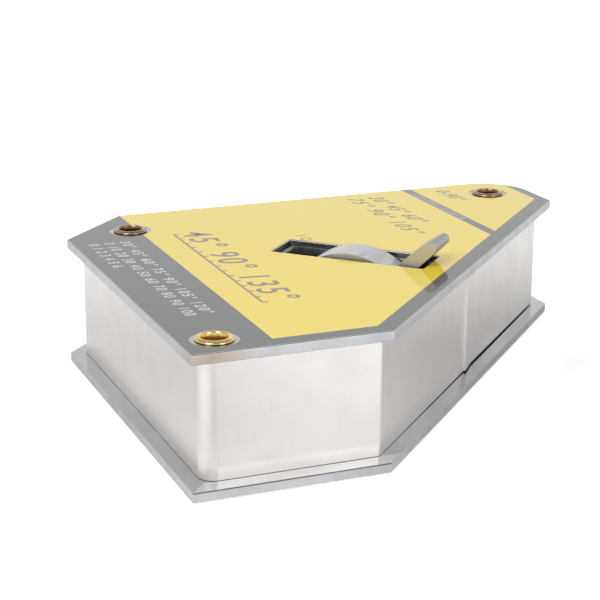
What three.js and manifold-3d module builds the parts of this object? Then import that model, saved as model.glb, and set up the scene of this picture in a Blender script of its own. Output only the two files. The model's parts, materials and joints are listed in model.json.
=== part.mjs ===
// Switchable welding magnet holder.
// Two steel pole plates are held apart by a thin sheet band and three hollow rivets.
// A lever in a slot of the top plate turns a two-ended magnet rotor by a quarter turn:
// lying towards the long diagonal edge it is off, lying towards the clipped corner it is on.
// Millimetres, +Z up. The origin is under the middle of the bounding box, on the bottom face.
// X runs along the long back edge, Y from the front edge to the back edge.

import * as THREE from 'three';
import { mergeVertices } from 'three/addons/utils/BufferGeometryUtils.js';
import Module from 'manifold-3d';

const wasm = await Module();
wasm.setup();

// Driving dimensions of the plates.
const plateLength = 152;
const plateWidth = 130.5;
const bodyHeight = 36;
const plateThickness = 2.5;
const frontEdge = 50.7;
const clippedCorner = 21.4;
const noseRadius = 14.6;
const fitGap = 0.3;
const overshoot = 1;

// Sheet band that closes the sides.
const bandInset = 4.1;
const bandFrontInset = 4.8;
const bandThickness = 0.9;
const bandBendRadius = 1.4;
const bandFrontBendRadius = 4;
const bandSeamWidth = 0.4;
const bandSeamFromSlot = 10;

// Hollow rivets, given by their distances from the left and front edges.
const rivetPlaces = {
  rivet_front: [9, 9.5],
  rivet_clipped_corner: [19.5, 112],
  rivet_nose: [138, 116.3],
};
const rivetBoreRadius = 3;
const rivetShankRadius = 3.4;
const rivetFlangeRadius = 4.85;
const rivetFlangeRise = 0.8;
const rivetFlareRadius = 4.55;
const countersinkDepth = 1.6;

// Printed label on the top plate.
const labelMargin = 0.4;
const labelThickness = 0.4;
const labelRivetClearance = 6;
const labelSlotMargin = 0.4;

// Lever slot: its middle is given from the left and front edges. It lies at 45 degrees.
const slotCentre = [69.7, 65.9];
const slotLength = 44;
const slotWidth = 13.7;
const slotTurn = -Math.PI / 4;
const axleHeight = bodyHeight / 2;

// Well that lines the slot below the top plate.
const wellTopDepth = 1.4;
const wellInnerLength = 39.8;
const wellInnerWidth = 12.1;
const wellFloor = 1.2;
const wellHoleRadius = 5.5;

// Lever.
const leverWidth = 11;
const leverRimRadius = 19.4;
const leverRimThickness = 2.6;
const leverHubRadius = 8.5;
const leverPocketDepth = 1.8;
const leverPocketMargin = THREE.MathUtils.degToRad(11);
const leverHubWall = 1.5;
const leverTail = THREE.MathUtils.degToRad(-40);
const leverOffAngle = Math.PI / 4;
const armTipRadius = 1.5;
const armTipShift = 0.1;
const armTipLength = 6;
const armFillet = 1.2;
const armReach = 35;
const armOuterFace = 1.7;
const armInnerFace = -2.3;

// Rotor and shaft, along the axle.
const shaftRadius = 3.5;
const rotorRadius = 11;
const rotorGap = 0.5;
const rotorStart = 7.3;
const rotorDisc = 2;
const rotorLength = 40;
const magnetThickness = 7.6;
const magnetOuter = 10.2;
const keyPinRadius = 1.25;
const keyPinReach = 8;

// Fixed pole blocks around each rotor.
const poleHalfWidth = 24;
const poleSplit = 3;

// Bearings at both shaft ends.
const bearingBlockWidth = 24;
const bearingBlockLength = 7;
const bushRadius = 6;
const bushFlangeRadius = 8.5;
const bushFlange = 0.8;
const clipThickness = 1;
const clipRadius = 6.2;
const clipMouth = 3;
const clipGrooveRadius = 3;
const shaftTail = 1;

const roundSegments = 32;
const smallSegments = 24;
const rimSegments = 16;
const cornerSegments = 8;
const flangeSegments = 5;

const steel = { color: 0xb9babb, roughness: 0.38, metalness: 0.9 };
const bandSteel = { color: 0xc9cacb, roughness: 0.3, metalness: 0.95 };
const castZinc = { color: 0xa9aaa8, roughness: 0.45, metalness: 0.85 };
const brass = { color: 0xc9a253, roughness: 0.28, metalness: 0.95 };
const labelYellow = { color: 0xf1dc3c, roughness: 0.25, metalness: 0 };
const poleIron = { color: 0x8f9296, roughness: 0.5, metalness: 0.85 };
const magnetBlack = { color: 0x35363a, roughness: 0.6, metalness: 0.35 };
const bearingBronze = { color: 0xa6793c, roughness: 0.4, metalness: 0.9 };
const darkSteel = { color: 0x55575b, roughness: 0.45, metalness: 0.85 };

const left = -plateLength / 2;
const right = plateLength / 2;
const front = -plateWidth / 2;
const back = plateWidth / 2;

// How far the diagonal edge lies from the middle of the slot.
const diagonalReach = (slotCentre[1] - slotCentre[0] + frontEdge) / Math.SQRT2;

const holder = new THREE.Group();

// The mechanism group has x across the lever along its slot, y along the axle and z up.
const mechanism = new THREE.Group();
mechanism.position.set(left + slotCentre[0], front + slotCentre[1], axleHeight);
mechanism.rotation.z = slotTurn;
holder.add(mechanism);

function addPiece(parent, name, geometry, finish) {
  const piece = new THREE.Mesh(geometry, new THREE.MeshStandardMaterial(finish));
  piece.name = name;
  parent.add(piece);
}

function toSolid(geometry) {
  const bare = geometry.clone();
  bare.deleteAttribute('normal');
  bare.deleteAttribute('uv');
  const merged = mergeVertices(bare, 1e-4);
  return new wasm.Manifold(new wasm.Mesh({
    numProp: 3,
    vertProperties: new Float32Array(merged.attributes.position.array),
    triVerts: new Uint32Array(merged.index.array),
  }));
}

function toGeometry(solid) {
  const mesh = solid.getMesh();
  const geometry = new THREE.BufferGeometry();
  geometry.setAttribute('position', new THREE.BufferAttribute(mesh.vertProperties, 3));
  geometry.setIndex(new THREE.BufferAttribute(mesh.triVerts, 1));
  geometry.computeVertexNormals();
  return geometry;
}

function cut(body, ...tools) {
  let solid = toSolid(body);
  for (const tool of tools) {
    solid = solid.subtract(toSolid(tool));
  }
  return toGeometry(solid);
}

function join(body, ...others) {
  let solid = toSolid(body);
  for (const other of others) {
    solid = solid.add(toSolid(other));
  }
  return toGeometry(solid);
}

function block(x, y, z) {
  const geometry = new THREE.BoxGeometry(x[1] - x[0], y[1] - y[0], z[1] - z[0]);
  return geometry.translate((x[0] + x[1]) / 2, (y[0] + y[1]) / 2, (z[0] + z[1]) / 2);
}

// A slab of an outline drawn in the XY plane.
function slab(outline, bottom, top) {
  const geometry = new THREE.ExtrudeGeometry(outline, {
    depth: top - bottom,
    bevelEnabled: false,
    curveSegments: cornerSegments,
  });
  return geometry.translate(0, 0, bottom);
}

// A profile drawn across the axle, drawn out along the axle from start to end.
function alongAxle(outline, start, end) {
  const geometry = new THREE.ExtrudeGeometry(outline, {
    depth: end - start,
    bevelEnabled: false,
    curveSegments: rimSegments,
  });
  return geometry.rotateX(Math.PI / 2).translate(0, end, 0);
}

function post(radius, bottom, top, segments = smallSegments) {
  const geometry = new THREE.CylinderGeometry(radius, radius, top - bottom, segments);
  return geometry.rotateX(Math.PI / 2).translate(0, 0, (top + bottom) / 2);
}

function axleRod(radius, start, end, segments = roundSegments) {
  const geometry = new THREE.CylinderGeometry(radius, radius, end - start, segments);
  return geometry.translate(0, (start + end) / 2, 0);
}

// A turned piece along the axle. Each corner of the profile is a radius and an axle position.
function turnedOnAxle(profile, segments = roundSegments) {
  const corners = profile.map(([radius, place]) => new THREE.Vector2(radius, place));
  return new THREE.LatheGeometry(corners, segments);
}

// The plate outline, each side moved inwards by its own inset.
function plateCorners(inset, frontInset = inset) {
  const slope = Math.SQRT2 - 1;
  const noseEdge = plateLength - frontEdge;
  return [
    [left + inset, front + frontInset],
    [left + frontEdge - inset * Math.SQRT2 + frontInset, front + frontInset],
    [right - inset, front + noseEdge + inset * slope],
    [right - inset, back - inset],
    [left + clippedCorner + inset * slope, back - inset],
    [left + inset, back - clippedCorner - inset * slope],
  ];
}

// An outline whose corners are rounded by the given radii.
function roundedOutline(corners, radii) {
  const outline = new THREE.Shape();
  corners.forEach(([x, y], index) => {
    const here = new THREE.Vector2(x, y);
    const before = new THREE.Vector2(...corners.at(index - 1)).sub(here).normalize();
    const after = new THREE.Vector2(...corners[(index + 1) % corners.length]).sub(here).normalize();
    const half = Math.acos(before.dot(after)) / 2;
    const reach = radii[index] / Math.tan(half);
    if (reach === 0) {
      if (index === 0) {
        outline.moveTo(x, y);
      } else {
        outline.lineTo(x, y);
      }
      return;
    }
    const middle = before.clone().add(after).normalize();
    const centre = here.clone().addScaledVector(middle, radii[index] / Math.sin(half));
    const start = here.clone().addScaledVector(before, reach).sub(centre);
    const end = here.clone().addScaledVector(after, reach).sub(centre);
    outline.absarc(centre.x, centre.y, radii[index], start.angle(), end.angle(), false);
  });
  outline.closePath();
  return outline;
}

function plateOutline(inset) {
  return roundedOutline(plateCorners(inset), [0, 0, 0, noseRadius - inset, 0, 0]);
}

function rivetPosts(radius, bottom, top) {
  return Object.values(rivetPlaces).map(([x, y]) => (
    post(radius, bottom, top).translate(left + x, front + y, 0)
  ));
}

// The slot as a solid that stands through the top of the holder, wider by a margin all round.
function slotSolid(margin) {
  const halfLength = slotLength / 2 + margin;
  const halfWidth = slotWidth / 2 + margin;
  const solid = block([-halfLength, halfLength], [-halfWidth, halfWidth], [0, bodyHeight]);
  return solid.rotateZ(slotTurn).translate(left + slotCentre[0], front + slotCentre[1], axleHeight);
}

function topPlate() {
  const blank = slab(plateOutline(0), bodyHeight - plateThickness, bodyHeight);
  const holes = rivetPosts(rivetShankRadius + fitGap, axleHeight, bodyHeight + overshoot);
  return cut(blank, slotSolid(0), ...holes);
}

// The lower ends of the rivets are flared into countersinks, so the bottom face stays flat.
function bottomPlate() {
  const blank = slab(plateOutline(0), 0, plateThickness);
  const holes = rivetPosts(rivetShankRadius + fitGap, -overshoot, axleHeight);
  const sinks = Object.values(rivetPlaces).map(([x, y]) => {
    const sink = new THREE.CylinderGeometry(
      rivetShankRadius + fitGap,
      rivetFlareRadius + 2 * fitGap,
      countersinkDepth,
      smallSegments,
    );
    return sink.rotateX(Math.PI / 2).translate(left + x, front + y, countersinkDepth / 2);
  });
  return cut(blank, ...holes, ...sinks);
}

function sideBand() {
  const bottom = plateThickness + fitGap;
  const top = bodyHeight - plateThickness - fitGap;
  const layer = (depth) => {
    const bend = bandBendRadius - depth;
    const nose = noseRadius - bandInset - depth;
    const radii = [bandFrontBendRadius - depth, bend, bend, nose, bend, bend];
    return roundedOutline(plateCorners(bandInset + depth, bandFrontInset + depth), radii);
  };
  const shell = slab(layer(0), bottom, top);
  const inside = slab(layer(bandThickness), bottom - overshoot, top + overshoot);
  const seam = block(
    [diagonalReach - 2 * bandInset, diagonalReach],
    [-bandSeamWidth / 2, bandSeamWidth / 2],
    [-bodyHeight, bodyHeight],
  );
  seam.translate(0, bandSeamFromSlot, 0).rotateZ(slotTurn);
  seam.translate(left + slotCentre[0], front + slotCentre[1], axleHeight);
  return cut(shell, inside, seam);
}

function topLabel() {
  const bottom = bodyHeight + fitGap;
  const sheet = slab(plateOutline(labelMargin), bottom, bottom + labelThickness);
  const clearings = rivetPosts(labelRivetClearance, bodyHeight, bottom + labelThickness + overshoot);
  const slot = slotSolid(labelSlotMargin);
  return cut(sheet, slot, ...clearings);
}

// A tubular rivet: a rolled flange on the top plate, a flush flare in the bottom plate.
function rivet() {
  const seat = bodyHeight + fitGap;
  const roll = (rivetFlangeRadius - rivetBoreRadius) / 2;
  const profile = new THREE.Path();
  profile.moveTo(rivetShankRadius, countersinkDepth + fitGap);
  profile.lineTo(rivetShankRadius, seat);
  profile.lineTo(rivetFlangeRadius - fitGap, seat);
  profile.absellipse(rivetBoreRadius + roll, seat, roll, rivetFlangeRise, 0, Math.PI, false, 0);
  profile.lineTo(rivetBoreRadius, countersinkDepth);
  profile.lineTo(rivetFlareRadius - 2 * fitGap, fitGap);
  profile.lineTo(rivetFlareRadius, fitGap);
  profile.closePath();
  const corners = profile.getPoints(flangeSegments).filter((corner, index, all) => (
    index === 0 || !corner.equals(all[index - 1])
  ));
  return new THREE.LatheGeometry(corners, smallSegments).rotateX(Math.PI / 2);
}

// An open-topped box that lines the slot, with a hole on each side for the shaft.
function leverWell() {
  const outerLength = slotLength / 2 - fitGap;
  const outerWidth = slotWidth / 2 - fitGap;
  const top = axleHeight - wellTopDepth;
  const bottom = -axleHeight + plateThickness + 2 * fitGap;
  const shell = block([-outerLength, outerLength], [-outerWidth, outerWidth], [bottom, top]);
  const inside = block(
    [-wellInnerLength / 2, wellInnerLength / 2],
    [-wellInnerWidth / 2, wellInnerWidth / 2],
    [bottom + wellFloor, top + overshoot],
  );
  return cut(shell, inside, axleRod(wellHoleRadius, -slotWidth, slotWidth));
}

// The lever arm drawn upright: x across its thickness, y away from the axle.
function armOutline() {
  const tipCentre = armReach - armTipRadius;
  const shoulder = armReach - armTipLength;
  const root = armInnerFace - armFillet;
  const arm = new THREE.Shape();
  arm.moveTo(armOuterFace, leverHubRadius);
  arm.lineTo(armOuterFace, shoulder);
  arm.absarc(armTipShift, tipCentre, armTipRadius, 0, Math.PI, false);
  arm.quadraticCurveTo(armInnerFace + fitGap, shoulder + armTipRadius, armInnerFace, shoulder - 1);
  arm.lineTo(armInnerFace, leverRimRadius + armFillet);
  arm.quadraticCurveTo(armInnerFace, leverRimRadius, root, leverRimRadius - fitGap);
  arm.lineTo(root, leverHubRadius);
  arm.closePath();
  return arm;
}

// A piece of ring or disc between two angles, which are measured from upright towards +x.
function sectorOutline(inner, outer, from, to) {
  const sector = new THREE.Shape();
  const start = Math.PI / 2 - from;
  const end = Math.PI / 2 - to;
  sector.absarc(0, 0, outer, start, end, true);
  if (inner > 0) {
    sector.absarc(0, 0, inner, end, start, false);
  } else {
    sector.lineTo(0, 0);
  }
  sector.closePath();
  return sector;
}

function lever() {
  const half = leverWidth / 2;
  const armEdge = leverOffAngle + Math.asin(armOuterFace / leverRimRadius);
  const rim = alongAxle(sectorOutline(0, leverRimRadius, leverTail, armEdge), -half, half);
  const hub = axleRod(leverHubRadius, -half, half);
  const arm = alongAxle(armOutline(), -half, half).rotateY(leverOffAngle);
  const pocket = sectorOutline(
    leverHubRadius + leverHubWall,
    leverRimRadius - leverRimThickness,
    leverTail + leverPocketMargin,
    armEdge - 2 * leverPocketMargin,
  );
  return cut(
    join(rim, hub, arm),
    alongAxle(pocket, half - leverPocketDepth, half + overshoot),
    alongAxle(pocket, -half - overshoot, -half + leverPocketDepth),
    axleRod(shaftRadius + fitGap, -leverWidth, leverWidth),
    keyPin(keyPinRadius + fitGap, leverHubRadius + overshoot),
  );
}

// The cross pin that fixes the lever on the shaft.
function keyPin(radius, reach) {
  return new THREE.CylinderGeometry(radius, radius, 2 * reach, smallSegments).rotateZ(Math.PI / 2);
}

// Places along the axle, counted outwards from the lever.
const discEnd = rotorStart + rotorDisc;
const magnetStart = discEnd + fitGap;
const magnetEnd = magnetStart + rotorLength;
const outerDiscStart = magnetEnd + fitGap;
const outerDiscEnd = outerDiscStart + rotorDisc;
const bushStart = outerDiscEnd + rotorGap;
const bearingStart = bushStart + bushFlange + fitGap;
const bearingEnd = bearingStart + bearingBlockLength;
const clipStart = bearingEnd + 2 * fitGap;
const clipEnd = clipStart + clipThickness;
const shaftEnd = clipEnd + shaftTail;

function rotorShaft() {
  const profile = [
    [0, -shaftEnd],
    [shaftRadius, -shaftEnd],
    [shaftRadius, -clipEnd - fitGap],
    [clipGrooveRadius, -clipEnd - fitGap],
    [clipGrooveRadius, -clipStart + fitGap],
    [shaftRadius, -clipStart + fitGap],
    [shaftRadius, clipStart - fitGap],
    [clipGrooveRadius, clipStart - fitGap],
    [clipGrooveRadius, clipEnd + fitGap],
    [shaftRadius, clipEnd + fitGap],
    [shaftRadius, shaftEnd],
    [0, shaftEnd],
  ];
  return cut(turnedOnAxle(profile), keyPin(keyPinRadius + fitGap, 2 * shaftRadius));
}

function rotorEndDisc(start) {
  const inner = shaftRadius + fitGap;
  return turnedOnAxle([
    [inner, start],
    [rotorRadius, start],
    [rotorRadius, start + rotorDisc],
    [inner, start + rotorDisc],
    [inner, start],
  ]);
}

// One of the two steel segments of a rotor, on the side given by 1 or -1.
function rotorPole(side) {
  const flat = magnetThickness / 2 + fitGap;
  const open = Math.acos(flat / rotorRadius);
  const segment = new THREE.Shape();
  segment.absarc(0, 0, rotorRadius, -open, open, false);
  segment.closePath();
  const pole = alongAxle(segment, magnetStart, magnetEnd);
  return side > 0 ? pole : pole.rotateY(Math.PI);
}

// One of the two magnets of a rotor, above or below the shaft.
function rotorMagnet(side) {
  const near = shaftRadius + fitGap;
  const span = [side * near, side * magnetOuter].sort((a, b) => a - b);
  return block([-magnetThickness / 2, magnetThickness / 2], [magnetStart, magnetEnd], span);
}

// A fixed pole block that hugs the rotor from above or below.
function poleBlock(side) {
  const far = axleHeight - plateThickness - fitGap;
  const span = [side * poleSplit / 2, side * far].sort((a, b) => a - b);
  const blank = block([-poleHalfWidth, poleHalfWidth], [magnetStart, magnetEnd], span);
  return cut(blank, axleRod(rotorRadius + rotorGap, magnetStart - overshoot, magnetEnd + overshoot));
}

// A non-magnetic bar that keeps the two pole blocks of one rotor apart.
function splitBar(side) {
  const near = rotorRadius + 2 * rotorGap;
  const span = [side * near, side * poleHalfWidth].sort((a, b) => a - b);
  const half = poleSplit / 2 - fitGap;
  return block(span, [magnetStart, magnetEnd], [-half, half]);
}

function bearingBlock() {
  const half = bearingBlockWidth / 2;
  const far = axleHeight - plateThickness - fitGap;
  const blank = block([-half, half], [bearingStart, bearingEnd], [-far, far]);
  return cut(blank, axleRod(bushRadius + fitGap, bearingStart - overshoot, bearingEnd + overshoot));
}

function bearingBush() {
  const inner = shaftRadius + fitGap;
  return turnedOnAxle([
    [inner, bushStart],
    [bushFlangeRadius, bushStart],
    [bushFlangeRadius, bushStart + bushFlange],
    [bushRadius, bushStart + bushFlange],
    [bushRadius, bearingEnd],
    [inner, bearingEnd],
    [inner, bushStart],
  ]);
}

// An open retaining ring in the groove near the shaft's end.
function retainingClip() {
  const inner = clipGrooveRadius + fitGap;
  const ring = turnedOnAxle([
    [inner, clipStart],
    [clipRadius, clipStart],
    [clipRadius, clipEnd],
    [inner, clipEnd],
    [inner, clipStart],
  ], smallSegments);
  const mouth = block(
    [-clipMouth / 2, clipMouth / 2],
    [clipStart - overshoot, clipEnd + overshoot],
    [0, 2 * clipRadius],
  );
  return cut(ring, mouth);
}

// The case.
addPiece(holder, 'bottom_plate', bottomPlate(), steel);
addPiece(holder, 'top_plate', topPlate(), steel);
addPiece(holder, 'side_band', sideBand(), bandSteel);
addPiece(holder, 'top_label', topLabel(), labelYellow);
for (const [name, [x, y]] of Object.entries(rivetPlaces)) {
  addPiece(holder, name, rivet().translate(left + x, front + y, 0), brass);
}

// The switch.
addPiece(mechanism, 'lever_well', leverWell(), darkSteel);
addPiece(mechanism, 'lever', lever(), castZinc);
addPiece(mechanism, 'lever_key_pin', keyPin(keyPinRadius, keyPinReach), darkSteel);
addPiece(mechanism, 'rotor_shaft', rotorShaft(), darkSteel);

// One rotor with its poles and bearing on each side of the lever, each turned half a turn.
for (const [end, turn] of [['front', Math.PI], ['back', 0]]) {
  const wing = new THREE.Group();
  wing.rotation.z = turn;
  mechanism.add(wing);
  addPiece(wing, `${end}_rotor_inner_disc`, rotorEndDisc(rotorStart), brass);
  addPiece(wing, `${end}_rotor_outer_disc`, rotorEndDisc(outerDiscStart), brass);
  addPiece(wing, `${end}_rotor_pole_a`, rotorPole(1), poleIron);
  addPiece(wing, `${end}_rotor_pole_b`, rotorPole(-1), poleIron);
  addPiece(wing, `${end}_magnet_upper`, rotorMagnet(1), magnetBlack);
  addPiece(wing, `${end}_magnet_lower`, rotorMagnet(-1), magnetBlack);
  addPiece(wing, `${end}_pole_block_upper`, poleBlock(1), poleIron);
  addPiece(wing, `${end}_pole_block_lower`, poleBlock(-1), poleIron);
  addPiece(wing, `${end}_split_bar_a`, splitBar(1), brass);
  addPiece(wing, `${end}_split_bar_b`, splitBar(-1), brass);
  addPiece(wing, `${end}_bearing_block`, bearingBlock(), steel);
  addPiece(wing, `${end}_bearing_bush`, bearingBush(), bearingBronze);
  addPiece(wing, `${end}_retaining_clip`, retainingClip(), darkSteel);
}

export default holder;
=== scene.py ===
import json
import math

import bpy
from mathutils import Matrix, Vector


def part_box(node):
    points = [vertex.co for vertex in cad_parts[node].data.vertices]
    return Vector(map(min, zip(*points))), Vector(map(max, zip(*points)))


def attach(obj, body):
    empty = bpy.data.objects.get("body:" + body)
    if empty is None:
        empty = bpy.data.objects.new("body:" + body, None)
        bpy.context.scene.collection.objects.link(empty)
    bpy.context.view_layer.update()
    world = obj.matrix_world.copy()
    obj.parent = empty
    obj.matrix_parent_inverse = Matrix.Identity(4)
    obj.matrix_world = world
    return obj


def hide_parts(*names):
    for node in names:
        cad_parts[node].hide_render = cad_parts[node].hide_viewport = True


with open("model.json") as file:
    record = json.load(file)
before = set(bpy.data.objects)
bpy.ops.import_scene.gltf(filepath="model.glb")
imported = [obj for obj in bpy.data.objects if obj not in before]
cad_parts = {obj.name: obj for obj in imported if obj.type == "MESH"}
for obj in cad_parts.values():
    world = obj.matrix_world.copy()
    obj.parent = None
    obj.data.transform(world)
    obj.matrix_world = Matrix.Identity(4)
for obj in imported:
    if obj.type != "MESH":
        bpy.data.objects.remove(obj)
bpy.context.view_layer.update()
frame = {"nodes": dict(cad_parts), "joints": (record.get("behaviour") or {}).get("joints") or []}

# A switchable welding magnet holder: two steel pole plates, a thin sheet band between them,
# three hollow rivets, a printed label and a cast lever that turns in a slot of the top plate.
# Everything is in metres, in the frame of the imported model.

MM = 0.001

# The case, read from the frame where the frame holds it.
TOP_PLATE_LOW, TOP_PLATE_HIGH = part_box("top_plate")
BOTTOM_PLATE_LOW, BOTTOM_PLATE_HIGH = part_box("bottom_plate")
LEFT, FRONT = TOP_PLATE_LOW.x, TOP_PLATE_LOW.y
RIGHT, BACK = TOP_PLATE_HIGH.x, TOP_PLATE_HIGH.y
CASE_TOP = TOP_PLATE_HIGH.z
FRONT_EDGE = 50.7 * MM
CLIPPED_CORNER = 21.4 * MM
NOSE_RADIUS = 14.6 * MM
NOSE_STEPS = 40
PLATE_ROUNDING = 0.28 * MM
# Depth of the painted shade line along the lower plate's upper front edge.
SHADE_LINE_DEPTH = 0.34 * MM

BAND_INSET = 4.1 * MM
BAND_FRONT_INSET = 4.8 * MM
BAND_SHEET = 0.9 * MM
BAND_FRONT_BEND = 4.0 * MM
BAND_FRONT_BEND_STEPS = 16
BAND_NOSE_STEPS = 32
BAND_BEND = 1.2 * MM
BAND_BEND_STEPS = 5
BAND_FOOT_GAP = 0.1 * MM
BAND_END_LIFT = 0.3 * MM
BAND_FOOT_LIFT = 0.22 * MM
SEAM_FROM_SLOT = 10 * MM
SEAM_LIP = 0.7 * MM
SEAM_CUT = 0.03 * MM
SEAM_JOGGLE = 7 * MM

# The slot lies at 45 degrees; its own frame has x along the slot, y along the axle and z up.
AXLE = Vector(frame["joints"][0]["pos_m"])
SLOT_TURN = math.radians(-45)
SLOT_LENGTH = 44 * MM
SLOT_WIDTH = 13.7 * MM
SLOT_CORNER = 0.7 * MM
SLOT_CORNER_STEPS = 5
ALONG_SLOT = Vector((math.cos(SLOT_TURN), math.sin(SLOT_TURN), 0))
ALONG_AXLE = Vector((-math.sin(SLOT_TURN), math.cos(SLOT_TURN), 0))
DIAGONAL_REACH = (Vector((LEFT + FRONT_EDGE, FRONT, AXLE.z)) - AXLE).dot(ALONG_SLOT)

WELL_OUTER = (SLOT_LENGTH - 0.6 * MM, SLOT_WIDTH - 0.6 * MM)
WELL_INNER = (39.8 * MM, 12.1 * MM)
WELL_TOP = CASE_TOP - 1.4 * MM
WELL_BOTTOM = BOTTOM_PLATE_HIGH.z + 0.6 * MM
WELL_FLOOR = 1.2 * MM
WELL_LIT = 2.2 * MM
WELL_ROUNDING = 0.14 * MM
WELL_SHAFT_CLEARANCE = 1.7 * MM

RIM_RADIUS = 19.4 * MM
RIM_WALL = 2.6 * MM
HUB_RADIUS = 8.5 * MM
LEVER_WIDTH = 11 * MM
LEVER_POCKET = 1.8 * MM
LEVER_TAIL_ANGLE = math.radians(-40)
LEVER_OFF_ANGLE = math.radians(45)
ARM_OUTER_FACE = 1.7 * MM
ARM_INNER_FACE = -2.3 * MM
ARM_REACH = 35 * MM
NECK_RISE = 2 * MM
NECK_INNER_FACE = -2.0 * MM
UNDERSIDE_FROM = HUB_RADIUS + 5 * MM
LIP_LENGTH = 6 * MM
LIP_RADIUS = 1.5 * MM
LIP_OFFSET = 0.1 * MM
LIP_STEPS = 10
LEVER_ROUNDING = 0.45 * MM
POCKET_MARGIN = math.radians(11)
POCKET_HUB_WALL = 1.5 * MM
SHAFT_HOLE = 3.8 * MM

RIVET_BORE = 3.0 * MM
RIVET_SHANK = 3.4 * MM
RIVET_HOLE = 3.7 * MM
RIVET_FLANGE = 4.85 * MM
RIVET_RISE = 0.85 * MM
RIVET_CREST = RIVET_BORE + 0.6 * MM
RIVET_FUNNEL = 1.0 * MM
RIVET_FLARE = 4.5 * MM
RIVET_SINK = 1.6 * MM
RIVET_SINK_CLEARANCE = 0.3 * MM
RIVET_BED = 0.02 * MM
RIVET_STEPS = 64
RIVET_ROLL_STEPS = 18
RIVETS = ("rivet_front", "rivet_clipped_corner", "rivet_nose")

LABEL_MARGIN = 0.3 * MM
LABEL_THICKNESS = 0.12 * MM
LABEL_BED = 0.005 * MM
LABEL_ROUNDING = 0.05 * MM
LABEL_HOLE = 6 * MM
LABEL_SLOT_MARGIN = 0.35 * MM
LABEL_SLOT_CORNER = 0.8 * MM
GREY_BAND = 21.6 * MM
GREY_FRONT = 4.75 * MM
GREY_DIAGONAL = 4.9 * MM
GREY_RIGHT = 3.6 * MM
GREY_STRIP = (114.4 * MM, 117.5 * MM)
PRINT_LIFT = 0.012 * MM
PRINT_DEPTH = 0.02 * MM
PRINT_BOLDNESS = 0.016
CAPITAL_SHARE = 0.7
PRINT_PLANE = CASE_TOP + LABEL_THICKNESS + PRINT_LIFT

# Points closer than WELD are one point, and HAIR is the slack when edges are found by place.
WELD = 0.001 * MM
HAIR = 0.01 * MM


# ---------------------------------------------------------------------------
# Hand tools
# ---------------------------------------------------------------------------

def settle():
    """Moves the place, turn and size of the active piece into its mesh."""
    bpy.ops.object.transform_apply(location=True, rotation=True, scale=True)


def begin(name):
    """Names the primitive that was just added and opens it, all of it selected."""
    piece = bpy.context.object
    piece.name = name
    piece.data.name = name
    settle()
    bpy.ops.object.mode_set(mode="EDIT")
    bpy.ops.mesh.select_all(action="SELECT")
    return piece


def pick_faces(piece, test):
    """Selects the faces whose centre and normal pass the test, and nothing else."""
    bpy.ops.mesh.select_mode(type="FACE")
    bpy.ops.mesh.select_all(action="DESELECT")
    bpy.ops.object.mode_set(mode="OBJECT")
    for face in piece.data.polygons:
        face.select = bool(test(face.center, face.normal))
    bpy.ops.object.mode_set(mode="EDIT")


def pick_edges(piece, test):
    """Selects the edges whose two ends pass the test, and nothing else."""
    bpy.ops.mesh.select_mode(type="EDGE")
    bpy.ops.mesh.select_all(action="DESELECT")
    bpy.ops.object.mode_set(mode="OBJECT")
    corners = piece.data.vertices
    for edge in piece.data.edges:
        start, end = (corners[index].co for index in edge.vertices)
        edge.select = bool(test(start, end))
    bpy.ops.object.mode_set(mode="EDIT")


def close_piece():
    """Leaves edit mode with the faces pointing outwards."""
    bpy.ops.mesh.select_all(action="SELECT")
    bpy.ops.mesh.remove_doubles(threshold=WELD)
    bpy.ops.mesh.normals_make_consistent(inside=False)
    bpy.ops.object.mode_set(mode="OBJECT")


def take(piece):
    """Makes one piece the only selected and active one."""
    bpy.ops.object.select_all(action="DESELECT")
    piece.select_set(True)
    bpy.context.view_layer.objects.active = piece


def carve(piece, cutter, operation="DIFFERENCE"):
    """Cuts a piece with another one, or joins them, and removes the other one."""
    take(piece)
    modifier = piece.modifiers.new("carve", "BOOLEAN")
    modifier.object = cutter
    modifier.operation = operation
    modifier.solver = "EXACT"
    bpy.ops.object.modifier_apply(modifier=modifier.name)
    bpy.data.objects.remove(cutter)


def split(piece, *planes):
    """Adds edges where planes, each given by a place and its facing, cross a piece."""
    take(piece)
    bpy.ops.object.mode_set(mode="EDIT")
    for place, facing in planes:
        bpy.ops.mesh.select_all(action="SELECT")
        bpy.ops.mesh.bisect(plane_co=place, plane_no=facing, threshold=WELD)
    bpy.ops.object.mode_set(mode="OBJECT")


def soften_edges(piece, width, segments=3, angle=30):
    """Rounds every edge that is sharper than the angle."""
    take(piece)
    modifier = piece.modifiers.new("rounding", "BEVEL")
    modifier.width = width
    modifier.segments = segments
    modifier.limit_method = "ANGLE"
    modifier.angle_limit = math.radians(angle)
    modifier.miter_outer = "MITER_ARC"
    bpy.ops.object.modifier_apply(modifier=modifier.name)


def shade(piece, angle=35):
    """Smooth shading over the round stretches, with flat stretches kept flat."""
    take(piece)
    bpy.ops.object.shade_smooth_by_angle(angle=math.radians(angle), keep_sharp_edges=True)
    modifier = piece.modifiers.new("flat faces", "WEIGHTED_NORMAL")
    modifier.keep_sharp = True
    bpy.ops.object.modifier_apply(modifier=modifier.name)


def to_slot_frame(piece):
    """Turns a piece built in the slot's own frame, with the axle at zero, into its place."""
    take(piece)
    piece.rotation_euler = (0, 0, SLOT_TURN)
    piece.location = AXLE
    settle()


def hand_over(piece, body, slot, *nodes):
    """Puts a piece on its body and hides the nodes it stands for; the finish slot is not used."""
    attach(piece, body)
    if nodes:
        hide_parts(*nodes)


def give(piece, *materials):
    """Replaces a piece's materials."""
    piece.data.materials.clear()
    for material in materials:
        piece.data.materials.append(material)


def round_bar(name, radius, low, high, place, vertices=64):
    """An upright cylinder used as a cutter."""
    bpy.ops.mesh.primitive_cylinder_add(
        vertices=vertices, radius=radius, depth=high - low,
        location=(place.x, place.y, (high + low) / 2))
    piece = begin(name)
    bpy.ops.object.mode_set(mode="OBJECT")
    return piece


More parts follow.
